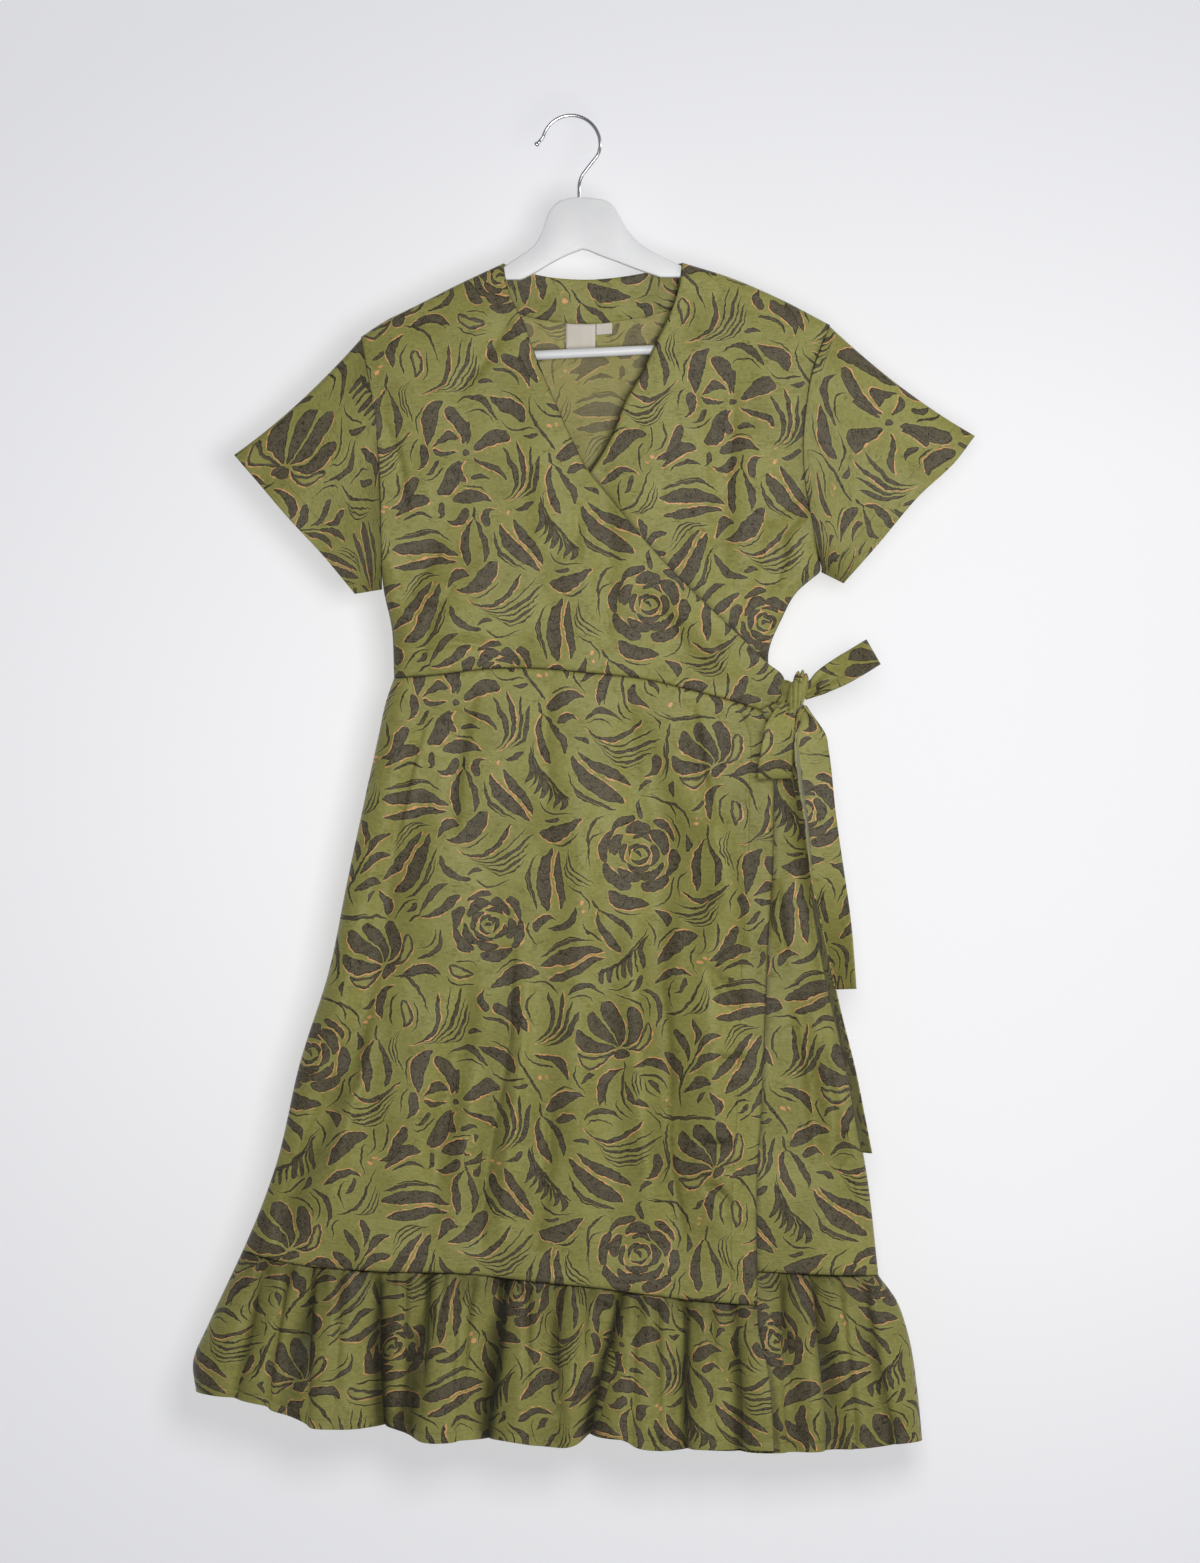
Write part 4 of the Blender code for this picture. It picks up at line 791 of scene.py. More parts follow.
def rose():
    """Open rose: a curled heart in rings of broken, ragged petals, and stray lines round it."""
    strokes = [limb(-5, 2, 20, 11, 5.0, 3.0, 0.5, 0.3, EDGED), limb(2, -5, 130, 9, 3.6, -2.4, 0.5)]
    # radius, count, width, start
    rings = ((10.0, 3, 4.6, 20), (17.5, 4, 6.0, 75), (26.0, 5, 8.6, 10), (36.5, 6, 8.4, 40))
    for radius, count, wide, start in rings:
        for k in range(count):
            at = start + 360 * k / count + 9 * sin(2.3 * k + radius)
            half = pi / count * 0.86 * (1 + 0.14 * sin(5 * k + radius))
            full = wide / 2 * (1 + 0.26 * sin(7 * k + radius))
            form = (radius * sin(half), full, -radius * (1 - cos(half)))
            middle = turned(radius * cos(half), 0, at)
            look = EDGED if k % 2 else -EDGED
            strokes.append((*middle, at + 90 + 7 * sin(3 * k), *form, 0.36, 0.3 * sin(4 * k + 1), look))
    return strokes


def bloom():
    """Flower seen from the side: long petals from one foot, two of them hollow, its stalk and leaves."""
    petals = (  # heading, length, width, bend, look
        (96, 46, 13, 3.0, EDGED), (76, 44, 11, -3.0, PLAIN), (126, 40, 12, 7.0, EDGED),
        (50, 42, 12, -7.0, -EDGED), (156, 33, 9, 8.0, HOLLOW), (20, 36, 10, -8.0, -HOLLOW),
    )
    leaves = (
        (-8, -4, 8, 17, 8, 1.5, 0.5, 0.0, -EDGED), (0, -8, -84, 56, 2.6, 10.0, 0.7, -0.6),
        (4, -14, -36, 42, 9.0, 8.0, 0.8, 0.3, EDGED), (9, -19, -42, 32, 1.6, 7.0, 0.6, 0.3),
        (-4, -16, -148, 38, 8.0, -8.0, 0.8, 0.3, -EDGED), (-3, -26, -140, 34, 2.2, -7.0, 0.6, 0.3),
    )
    strokes = []
    for angle, length, wide, bend, look in petals:
        strokes.append(limb(*turned(6.0, 0, angle), angle, length, wide, bend, 0.5, 0.5, look))
    return strokes + [limb(*leaf_form) for leaf_form in leaves]


def tulip():
    """Three closed petals on a swaying stalk, with thin lines inside and beside them."""
    petals = [limb(-4, 1, 104, 38, 9.5, -5.0, 0.5, 0.45, EDGED)]
    petals += [limb(4, 1, 78, 42, 9.0, 5.0, 0.5, 0.45, -EDGED), limb(0, 5, 92, 26, 4.0, 0.0, 0.6, 0.2)]
    lines = [limb(-12, 4, 122, 30, 3.4, -6.0, 0.6, 0.4), limb(12, 3, 60, 32, 2.2, 7.0, 0.6, 0.4)]
    stalk = [limb(1, -3, -98, 60, 2.4, -9.0, 0.6, 0.7), limb(3, -20, -62, 38, 6.6, 7.0, 0.7, 0.4, EDGED)]
    return [*petals, *lines, *stalk]


def star():
    """Ragged flower from above: broad and thin petals round a small eye."""
    strokes = [limb(-3.5, 0, 0, 7, 5, 0.5, 0.5)]
    for k in range(7):
        at = 360 * k / 7 + 15 * sin(2.1 * k)
        size = (30 + 9 * sin(3.3 * k + 1), (12.5, 6.0, 11.0, 4.6, 12.0, 9.0, 5.0)[k], 5.0 * sin(2 * k + 1))
        strokes.append(limb(*turned(8.5, 0, at), at, *size, 0.5, 0.5, EDGED if k % 3 else -EDGED))
    return strokes


def big_leaf():
    """Broad leaf of two halves with thin blades at its sides."""
    upper = limb(0, 1.5, 5, 64, 12.0, 5.0, 0.7, 0.2, -EDGED)
    lower = limb(2, -5.0, -4, 58, 8.0, 1.0, 0.7, 0.25, EDGED)
    return [upper, lower, limb(6, 13, 3, 56, 3.2, 8.0, 0.7, 0.4), limb(14, 18, 6, 36, 1.5, 6.0, 0.6, 0.3)]


def leaf():
    return [limb(0, 0, 0, 46, 13.0, 5.5, 0.65, 0.4, EDGED), limb(6, 11.0, 6, 30, 1.5, 4.5, 0.6, 0.3)]


def split_leaf():
    """Two blades on one foot that close again at the tip."""
    blades = [limb(0, 1, 9, 50, 8.0, 5.5, 0.7, 0.45, EDGED), limb(0, -1, -9, 46, 6.0, -4.5, 0.7, 0.4)]
    return [*blades, limb(-14, 0, 0, 16, 2.4, 0.0, 0.6)]


def sprig(count=6, long=60.0):
    """Leaves on both sides of a curved stem, the longest in the middle."""
    strokes = [(long * 0.45, 0.0, 2.0, long * 0.62, 1.0, 5.0, 0.5, -0.5, PLAIN)]
    for k in range(count):
        along = long * (0.10 + 0.80 * k / (count - 1))
        side = 1 if k % 2 else -1
        rise = 5.0 * (1 - (along / long * 1.7 - 0.8) ** 2)
        size = (long * (0.42 + 0.22 * sin(pi * (k + 0.6) / count)), 8.6 - 0.5 * k, side * -5.0)
        look = side * EDGED if k % 3 else PLAIN
        strokes.append(limb(along, rise + side * 3.0, side * (54 - 6 * k), *size, 0.65, 0.4, look))
    return strokes


def plume(count=7):
    """Strokes that leave a bowed stem on one side, shorter and finer to its end."""
    strokes = [limb(-4, 0, 4, 66, 2.4, 8.0, 0.6, 0.3)]
    for k in range(count):
        along = 8.0 * k
        rise = 8.0 * (1 - ((along - 29) / 33) ** 2) + 3.5
        strokes.append(limb(along, rise, 46 - 3 * k, 34 - 2.6 * k, (5.0, 2.0, 4.0)[k % 3], -5.0, 0.6, 0.5))
    return strokes


def sweep(count=6):
    """Long strokes side by side that swing the same way, thick ones between thin ones."""
    strokes = []
    for k in range(count):
        size = (74 * (1 - 0.12 * abs(k - 1.6)), (4.6, 1.6, 3.2, 1.5, 2.6, 1.3)[k], 15.0 - 0.8 * k)
        strokes.append(limb(4.0 * k, 5.0 * k, 3 * k - 6, *size, 0.7, 0.45, EDGED if k == 0 else PLAIN))
    return strokes


def grass(count=4):
    """Long strokes that leave one place like grass."""
    strokes = []
    for k in range(count):
        size = (66.0 * (1 - 0.10 * abs(k - 1.2)), 5.0 - 0.9 * (k % 3), 14.0 * (1 - 0.15 * k))
        look = EDGED if k == 1 else PLAIN
        strokes.append(limb(2.0 * k, 4.6 * k, 9.0 * (k - count / 2), *size, 0.8, 0.5, look))
    return strokes


def tendril():
    """A long thin line that sways, and a second one inside its bow."""
    return [limb(0, 0, 0, 78, 2.4, 12.0, 0.6, 0.9), limb(14, 5, -6, 44, 1.5, 8.0, 0.5, 0.6)]


def hairs():
    return [limb(2.4 * k, 3.8 * k, 2.0 * k, 52.0 * (1 - 0.14 * k), 1.5, 8.0, 0.5, 0.4) for k in range(3)]


def comma():
    return [limb(0, 0, 0, 28, 8.5, 5.5, 0.55, 0.75, EDGED)]


def bowed():
    """A strongly bowed stroke and a hair inside its bow."""
    return [limb(0, 0, 0, 44, 5.6, 12.0, 0.6, -0.4), limb(2, -5.0, -4, 30, 1.6, 8.0, 0.5)]


def pod():
    return [limb(0, 0, 0, 30, 10, 2.5, 0.5, 0.3, HOLLOW), limb(-4, 8, 6, 32, 1.5, 4.0, 0.5)]


def beads():
    """Dark stroke with a row of pale beads."""
    strokes = [limb(0, 0, 0, 40, 6.6, 8.0, 0.5)]
    for share in np.linspace(-0.78, 0.62, 8):
        strokes.append((20 + 20 * share, 8.0 * (1 - share**2), 0.0, 1.1, 1.1, 0.0, 0.5, 0.0, SEED))
    return strokes


def seeds():
    return [limb(0, 0, 70, 6.5, 3.4, 0.3, 0.5, 0.2, SEED), limb(7, 2, 62, 5.5, 2.8, 0.3, 0.5, 0.2, SEED)]


def dab():
    return [limb(0, 0, 0, 18, 4.6, 2.5, 0.6, 0.5)]


def stray():
    return [limb(0, 0, 0, 34, 1.7, 6.0, 0.5, 0.5)]


PLACED = (  # group, across, up, angle, size, flip
    (rose, 78, 312, 12, 1.0, 1),
    (rose, 258, 40, 140, 0.9, -1),
    (star, 224, 262, 20, 1.05, 1),
    (bloom, 60, 112, -158, 1.05, -1),
    (bloom, 156, 396, 38, 1.0, 1),
    (tulip, 292, 330, 24, 1.1, 1),
    (tulip, 150, 200, 130, 1.05, -1),
)
SOWN = (  # group, how many in what is left, smallest and largest size
    (big_leaf, 6, (0.95, 1.12)),
    (plume, 2, (0.9, 1.1)),
    (sweep, 4, (0.85, 1.05)),
    (sprig, 3, (0.9, 1.05)),
    (split_leaf, 5, (0.9, 1.15)),
    (grass, 5, (0.85, 1.05)),
    (leaf, 9, (0.8, 1.15)),
    (tendril, 5, (0.8, 1.05)),
    (pod, 2, (0.9, 1.0)),
    (beads, 2, (0.85, 1.0)),
    (bowed, 7, (0.8, 1.0)),
    (hairs, 6, (0.8, 1.0)),
    (comma, 12, (0.75, 1.05)),
    (seeds, 6, (0.9, 1.0)),
    (dab, 20, (0.8, 1.15)),
    (stray, 26, (0.7, 1.1)),
)


def stroke_gap(places, stroke):
    """About how far places lie outside a stroke, less than 0 inside it."""
    angle = radians(stroke[2])
    to = places - np.array(stroke[:2])
    along = to[..., 0] * cos(angle) + to[..., 1] * sin(angle)
    aside = to[..., 1] * cos(angle) - to[..., 0] * sin(angle)
    share = np.clip(along / stroke[3], -1, 1)
    left = 1 - share**2
    half = stroke[4] * left ** stroke[6] * (1 + stroke[7] * share)
    sway = SWAY * stroke[7] * stroke[3]
    lean = (sway * (1 - 3 * share**2) - 2 * stroke[5] * share) / stroke[3]
    off = np.abs(aside - (stroke[5] + sway * share) * left)
    return (off - half) / np.sqrt(1 + lean**2) + np.maximum(np.abs(along) - stroke[3], 0)


def flow(across, up):
    """Heading that the strokes follow, in degrees; it repeats with the print."""
    over, high = across / TILE[0] * 2 * pi, up / TILE[1] * 2 * pi
    return 62 + 55 * np.sin(over + 1.2 * np.cos(high)) + 38 * np.cos(high - 0.6 * np.sin(over))


def one_repeat():
    """The print's repeat: the placed groups, then the others where the most room is left.

    The sheet of cells is two columns of the repeat wide, so that the half drop closes on it.
    """
    rng = np.random.default_rng(PRINT_SEED)
    columns, rows = round(2 * TILE[0] / CELL), round(TILE[1] / CELL)
    heading = flow(*np.meshgrid((np.arange(columns) + 0.5) * CELL, (np.arange(rows) + 0.5) * CELL))
    taken = np.zeros((rows, columns), bool)
    reach = round(GROUP_REACH / CELL)
    own = np.arange(-reach, reach + 1) * CELL
    patch = np.stack(np.meshgrid(own, own), axis=-1)

    def cells_of(strokes):
        """Cells that a group at the origin takes, with a clear way round it."""
        cover = np.min([stroke_gap(patch, stroke) for stroke in strokes], axis=0) < CLEAR
        cells = np.zeros((rows, columns), bool)
        row, column = np.nonzero(cover)
        cells[(row - reach) % rows, (column - reach) % columns] = True
        return cells

    def take(cells, row, column):
        moved = np.roll(cells, (row, column), axis=(0, 1))
        return taken | moved | np.roll(moved, (rows // 2, columns // 2), axis=(0, 1))

    strokes = []
    for group, across, up, angle, size, flip in PLACED:
        cells = cells_of(put(group(), 0.0, 0.0, angle, size, flip))
        taken = take(cells, round(up / CELL), round(across / CELL))
        strokes += put(group(), across, up, angle, size, flip)
    waves = np.fft.fftfreq(rows, CELL)[:, None] ** 2 + np.fft.rfftfreq(columns, CELL)[None] ** 2
    blur = np.exp(-2 * (pi * CROWD_REACH) ** 2 * waves)
    for group, count, sizes in SOWN:
        for _ in range(count):
            angle, flip = 360 / HEADINGS * rng.integers(HEADINGS), rng.choice((-1, 1))
            size = rng.uniform(*sizes)
            cells = cells_of(put(group(), 0.0, 0.0, angle, size, flip))
            sheet = np.fft.rfft2(taken)
            overlap = np.fft.irfft2(sheet * np.conj(np.fft.rfft2(cells)), s=taken.shape)
            turn = (heading - angle + 90) % 180 - 90
            free = np.argwhere((overlap < 0.5) & (np.abs(turn) < FLOW_PLAY))
            if not len(free):
                continue
            crowd = np.fft.irfft2(sheet * blur, s=taken.shape)[tuple(free.T)]
            row, column = free[np.argmin(crowd + rng.uniform(0, 0.1, len(free)))]
            taken = take(cells, row, column)
            strokes += put(group(), column * CELL, row * CELL, angle, size, flip)
    return np.array(strokes, float)


def printed_strokes(repeat, low, high):
    """All strokes that reach a stretch of the cut cloth."""
    reach = 60.0
    found = []
    first, last = (np.floor((low[0] - reach) / TILE[0]) - 2, np.ceil((high[0] + reach) / TILE[0]) + 1)
    for column in np.arange(first, last):
        shift = TILE[1] / 2 if column % 2 else 0.0
        bottom, top = (np.floor((low[1] - reach) / TILE[1]) - 2, np.ceil((high[1] + reach) / TILE[1]) + 1)
        for row in np.arange(bottom, top):
            strokes = repeat.copy()
            strokes[:, 0] += column * TILE[0]
            strokes[:, 1] += row * TILE[1] + shift
            inside = np.all((strokes[:, :2] > low - reach) & (strokes[:, :2] < high + reach), axis=1)
            found.append(strokes[inside])
    return np.concatenate(found)


PRINT = one_repeat()


def lay_print(piece):
    """Gives each face of the cloth the strokes nearest to it on the cut."""
    mesh = piece.data
    places = np.empty(len(mesh.loops) * 2)
    mesh.uv_layers["cut"].uv.foreach_get("vector", places)
    starts = np.empty(len(mesh.polygons), int)
    counts = np.empty(len(mesh.polygons), int)
    mesh.polygons.foreach_get("loop_start", starts)
    mesh.polygons.foreach_get("loop_total", counts)
    centres = np.add.reduceat(places.reshape(-1, 2), starts, axis=0) / counts[:, None] / MM
    faces = len(centres)
    order = np.argsort(centres[:, 0], kind="stable")
    sorted_across, sorted_up = centres[order].T.copy()
    gaps = np.full((faces, SLOTS), PRINT_REACH)
    chosen = np.tile(np.array(NO_STROKE), (faces, SLOTS, 1))
    for stroke in printed_strokes(PRINT, centres.min(axis=0), centres.max(axis=0)):
        reach = stroke[3] + abs(stroke[5]) + PRINT_REACH
        first, last = np.searchsorted(sorted_across, (stroke[0] - reach, stroke[0] + reach))
        near = order[first:last][np.abs(sorted_up[first:last] - stroke[1]) < reach]
        if not len(near):
            continue
        gap = stroke_gap(centres[near], stroke)
        worst = np.argmax(gaps[near], axis=1)
        better = gap < gaps[near, worst]
        gaps[near[better], worst[better]] = gap[better]
        chosen[near[better], worst[better]] = stroke
    chosen[..., 2] = np.radians(chosen[..., 2])
    for slot in range(SLOTS):
        for part, first in (("where", 0), ("size", 3), ("form", 6)):
            store = mesh.attributes.new(f"{part}_{slot}", "FLOAT_VECTOR", "FACE")
            store.data.foreach_set("vector", chosen[:, slot, first : first + 3].ravel())


# ---- materials ----


class Value:
    """What a node gives. Sums with it are made of nodes too; a plain number scales a place or a colour."""

    def __init__(self, wires, socket):
        self.wires = wires
        self.socket = socket

    def joined(self, operation, first, second):
        number = self.socket.type == "VALUE"
        join = self.wires.math if number else self.wires.vector
        return join(operation, first, second)

    def __add__(self, other):
        return self.joined("ADD", self, other)

    def __radd__(self, other):
        return self.joined("ADD", other, self)

    def __sub__(self, other):
        return self.joined("SUBTRACT", self, other)

    def __rsub__(self, other):
        return self.joined("SUBTRACT", other, self)

    def __mul__(self, other):
        if self.socket.type != "VALUE" and isinstance(other, (int, float)):
            return self.wires.take("VectorMath", "Vector", {0: self, "Scale": other}, operation="SCALE")
        return self.joined("MULTIPLY", self, other)

    def __truediv__(self, other):
        return self.joined("DIVIDE", self, other)

    def __pow__(self, other):
        return self.joined("POWER", self, other)

    def __abs__(self):
        return self.wires.math("ABSOLUTE", self)


class Wiring:
    """Short words for making and joining one node tree's nodes."""

    def __init__(self, tree):
        self.tree = tree

    def node(self, kind, inputs=None, **settings):
        made = self.tree.nodes.new("ShaderNode" + kind)
        for name, value in settings.items():
            setattr(made, name, value)
        for name, value in (inputs or {}).items():
            self.set(made.inputs[name], value)
        return made

    def take(self, kind, output, inputs=None, **settings):
        """One output of a new node."""
        return Value(self, self.node(kind, inputs, **settings).outputs[output])

    def set(self, socket, value):
        if isinstance(value, Value):
            self.tree.links.new(value.socket, socket)
        else:
            socket.default_value = value

    def math(self, operation, *values):
        return self.take("Math", 0, dict(enumerate(values)), operation=operation)

    def vector(self, operation, *values):
        output = "Value" if operation == "LENGTH" else "Vector"
        return self.take("VectorMath", output, dict(enumerate(values)), operation=operation)

    def parts(self, vector):
        return [Value(self, part) for part in self.node("SeparateXYZ", {"Vector": vector}).outputs]

    def mix(self, share, first, second):
        return self.take("Mix", 2, {0: share, 6: first, 7: second}, data_type="RGBA")

    def between(self, value, low, high, start=0.0, end=1.0):
        """The value's place between low and high, as start to end."""
        inputs = {"Value": value, "From Min": low, "From Max": high, "To Min": start, "To Max": end}
        return self.take("MapRange", "Result", inputs, clamp=True)

    def noise(self, place, scale, detail=3.0, rough=0.55, colour=False):
        inputs = {"Vector": place, "Scale": scale, "Detail": detail, "Roughness": rough}
        return self.take("TexNoise", "Color" if colour else "Fac", inputs)

    def stored(self, name, output="Vector"):
        """A value kept with the piece's own mesh."""
        return self.take("Attribute", output, attribute_type="GEOMETRY", attribute_name=name)


def paint(red, green, blue):
    """A colour from its screen numbers, 0 to 255."""
    shares = np.array((red, green, blue)) / 255
    return (*np.where(shares > 0.04045, ((shares + 0.055) / 1.055) ** 2.4, shares / 12.92), 1.0)


def empty_look(name):
    """A material with its shader, and the wiring of its nodes."""
    look = bpy.data.materials.new(name)
    look.use_nodes = True
    look.node_tree.nodes.clear()
    wires = Wiring(look.node_tree)
    shader = wires.node("BsdfPrincipled")
    output = wires.node("OutputMaterial", {"Surface": Value(wires, shader.outputs[0])})
    output.is_active_output = True
    return look, wires, shader


def relief(wires, shader, height, distance, strength):
    bump = wires.take("Bump", "Normal", {"Height": height, "Distance": distance, "Strength": strength})
    wires.set(shader.inputs["Normal"], bump)


def stroke_tools():
    """Node group that draws one stroke: how dark, how near its rim and how much pale line."""
    group = bpy.data.node_groups.new("printed_stroke", "ShaderNodeTree")
    for name in ("Place", "Where", "Size", "Form"):
        group.interface.new_socket(name, in_out="INPUT", socket_type="NodeSocketVector")
    for name in MARKS:
        group.interface.new_socket(name, in_out="OUTPUT", socket_type="NodeSocketFloat")
    wires = Wiring(group)
    sockets = group.nodes.new("NodeGroupInput").outputs
    place, where, size, form = (Value(wires, socket) for socket in list(sockets)[:4])
    angle = wires.parts(where)[2]
    long, wide, bend = wires.parts(size)
    point, skew, look = wires.parts(form)
    own = {"Vector": place - where, "Angle": angle * -1.0}
    along, aside, _ = wires.parts(wires.take("VectorRotate", 0, own, rotation_type="Z_AXIS"))
    share = wires.math("MINIMUM", wires.math("MAXIMUM", along / long, -1.0), 1.0)
    left = 1.0 - share * share
    sway = skew * SWAY * long
    off = aside - (bend + sway * share) * left
    half = wide * left**point * (1.0 + skew * share)
    lean = (sway * (left * 3.0 - 2.0) - bend * 2.0 * share) / long
    slope = wires.math("INVERSE_SQRT", 1.0 + lean * lean)
    gap = (abs(off) - half) * slope + wires.math("MAXIMUM", abs(along) - long, 0.0)
    inside = wires.between(gap, 0.2, -0.2)
    seed = wires.math("GREATER_THAN", look, 2.5)
    not_seed = 1.0 - seed
    hollow = wires.math("GREATER_THAN", abs(look), 1.5) * not_seed
    heart = wires.between(gap, -HOLLOW_LINE, -HOLLOW_LINE - 0.4) * hollow
    solid = inside * (1.0 - wires.math("MAXIMUM", seed, heart))
    rim = solid * wires.between(gap, -RIM - 0.3, -RIM + 0.3)
    band = wires.between(gap, 0.0, 0.3) * wires.between(gap, LINE_OUT + 0.2, LINE_OUT - 0.2)
    lined = band * wires.math("GREATER_THAN", off * look, 0.3) * not_seed
    halo = wires.between(gap, 2.4, 0.3) * not_seed
    result = group.nodes.new("NodeGroupOutput")
    for name, value in zip(MARKS, (solid, rim, wires.math("MAXIMUM", lined, inside * seed), halo)):
        wires.set(result.inputs[name], value)
    return group


def printed_cloth(name, tools, ground, ground_low, fill, fill_low, rim, line, strength=1.0):
    """Satin cotton with its print; the strength is less on the cloth's wrong side."""
    look, wires, shader = empty_look(name)
    place = wires.take("UVMap", "UV", uv_map="cut") * (1 / MM)
    spot = wires.take("TexCoord", "Object") * (1 / MM)
    ragged = (wires.noise(place, 1 / 7.0, 2.0, colour=True) - (0.5,) * 3) * 4.2
    waved = (wires.noise(place, 1 / 24.0, 1.0, colour=True) - (0.5,) * 3) * 7.0
    drawn = place + ragged + waved
    marks = dict.fromkeys(MARKS, 0.0)
    for slot in range(SLOTS):
        stroke = wires.tree.nodes.new("ShaderNodeGroup")
        stroke.node_tree = tools
        wires.set(stroke.inputs["Place"], drawn)
        for part in ("where", "size", "form"):
            wires.set(stroke.inputs[part.title()], wires.stored(f"{part}_{slot}"))
        for mark, most in marks.items():
            marks[mark] = wires.math("MAXIMUM", most, Value(wires, stroke.outputs[mark]))
    dark, rimmed, lined, pale = marks.values()
    # ground: cloudy, with slubs that run across the cloth
    slubs = wires.noise(place * (0.14, 0.7, 1.0), 1.0, 3.0, 0.6)
    tone = wires.noise(place, 1 / 60.0, 3.0) * 0.36 + slubs * 0.24 + wires.noise(place, 0.28, 4.0, 0.65) * 0.4
    base = wires.mix(wires.between(tone, 0.36, 0.64), ground_low, ground)
    base = wires.mix(pale * 0.45, base, ground)
    # crinkles: short broken lines that run across the cloth, dented in the relief, with painted shade in
    # their furrows
    crinkle = wires.noise((place + waved * 0.6) * (0.075, 0.5, 1.0), 1.0, 2.0, 0.5)
    crinkle_furrow_and_shade = wires.between(abs(crinkle - 0.5), 0.022, 0.0)
    crinkle_furrow_and_shade = crinkle_furrow_and_shade * wires.between(wires.noise(place, 1 / 11.0, 2.0), 0.5, 0.62)
    # fill: brown grey, crazed with near-black cracks
    crazed_place = place + wires.noise(place, 0.4, 2.0, colour=True) * 2.2
    cracks = 0.0
    for scale, away, width in ((0.30, 0.0, 0.030), (0.42, 90.0, 0.026), (0.19, 40.0, 0.018)):
        vein = abs(wires.noise(crazed_place + (away, away, 0.0), scale, 1.5) - 0.5)
        cracks = wires.math("MAXIMUM", cracks, wires.between(vein, width, width * 0.3))
    blotch = wires.noise(place, 1 / 6.5, 3.0, 0.65)
    filled = wires.mix(cracks * wires.between(blotch, 0.36, 0.56, 0.2, 1.0), fill, fill_low)
    filled = wires.mix(rimmed * 0.7, filled, rim)
    broken = wires.between(wires.noise(place, 1 / 9.0, 2.0), 0.42, 0.5)
    colour = wires.mix(lined * broken * strength, base, line)
    colour = wires.mix(dark * strength, colour, filled)
    # painted shade in the crinkles' furrows
    colour = wires.mix(crinkle_furrow_and_shade * 0.34, colour, rim)
    # painted shade from the piece's mesh darkens the colour
    colour = wires.mix(wires.stored("painted_shade", "Fac") * 0.85, colour, paint(*PAINTED_SHADE_TONE))
    wires.set(shader.inputs["Base Color"], colour)
    wires.set(shader.inputs["Roughness"], slubs * 0.16 + 0.38 + dark * 0.06)
    shader.inputs["Sheen Weight"].default_value = 0.12
    shader.inputs["Sheen Roughness"].default_value = 0.45
    shader.inputs["Specular IOR Level"].default_value = 0.2
    # relief: the crinkles, the threads and a soft unevenness
    weave = wires.noise(place * (1.2, 3.2, 1.0), 1.0, 1.0)
    soft = wires.noise(spot, 1 / 14.0, 2.0)
    relief(wires, shader, crinkle * 0.55 + weave * 0.06 + soft * 1.1 - crinkle_furrow_and_shade * 0.3, MM, 0.8)
    return look


def plain_look(name, colour, low, rough, grain, metallic=0.0):
    """A painted, woven or metal finish: two tones, uneven gloss and a fine relief."""
    look, wires, shader = empty_look(name)
    spot = wires.take("TexCoord", "Object") * (1 / MM)
    clouds = wires.between(wires.noise(spot, 1 / 30.0, 3.0), 0.35, 0.65)
    fine = wires.noise(spot * grain, 1.0, 3.0)
    wires.set(shader.inputs["Base Color"], wires.mix(clouds, paint(*low), paint(*colour)))
    wires.set(shader.inputs["Roughness"], wires.between(fine, 0.3, 0.7, rough - 0.05, rough + 0.06))
    shader.inputs["Metallic"].default_value = metallic
    relief(wires, shader, fine, 0.1 * MM, 0.4)
    return look


# ---- making pieces ----


def place_mesh(name, mesh, looks):
    piece = bpy.data.objects.new(name, mesh)
    bpy.context.scene.collection.objects.link(piece)
    for look in looks:
        mesh.materials.append(look)
    return piece


def finish_with(piece, kind, **settings):
    """Adds a modifier and applies it."""
    nothing_chosen()
    bpy.context.view_layer.objects.active = piece
    piece.select_set(True)
    modifier = piece.modifiers.new(kind.lower(), kind)
    for name, value in settings.items():
        setattr(modifier, name, value)
    bpy.ops.object.modifier_apply(modifier=modifier.name)


def nothing_chosen():
    if bpy.context.mode != "OBJECT":
        bpy.ops.object.mode_set(mode="OBJECT")
    bpy.ops.object.select_all(action="DESELECT")


def sheet_mesh(name, points, cut, closed=False):
    """A mesh through rows of points, with their places on the cut cloth; closed joins the rows' ends."""
    rows, width = points.shape[:2]
    number = np.arange(rows * width).reshape(rows, width)
    spots = np.arange(cut.shape[0] * cut.shape[1]).reshape(cut.shape[:2])
    if closed:
        number = np.concatenate((number, number[:, :1]), axis=1)

    def corners(table):
        four = (table[:-1, :-1], table[1:, :-1], table[1:, 1:], table[:-1, 1:])
        return np.stack(four, axis=-1).reshape(-1, 4)

    mesh = bpy.data.meshes.new(name)
    mesh.from_pydata((points.reshape(-1, 3) * MM).tolist(), [], corners(number).tolist())
    layer = mesh.uv_layers.new(name="cut")
    layer.uv.foreach_set("vector", (cut.reshape(-1, 2)[corners(spots).ravel()] * MM).ravel())
    mesh.shade_smooth()
    return mesh


def line_inside(points, side, inset):
    """A line on the cloth's right side at a distance in from one edge, with the way out of the cloth."""
    facing_out = np.cross(np.gradient(points, axis=0), np.gradient(points, axis=1))
    facing_out /= np.linalg.norm(facing_out, axis=-1, keepdims=True)
    tables = points, facing_out, inset_from(points, side)
    points, facing_out, way = (seen_from(table, side) for table in tables)
    columns = range(points.shape[1])
    line = [[np.interp(inset, way[:, j], points[:, j, k]) for k in range(3)] for j in columns]
    out = [[np.interp(inset, way[:, j], facing_out[:, j, k]) for k in range(3)] for j in columns]
    return np.array(line), np.array(out)


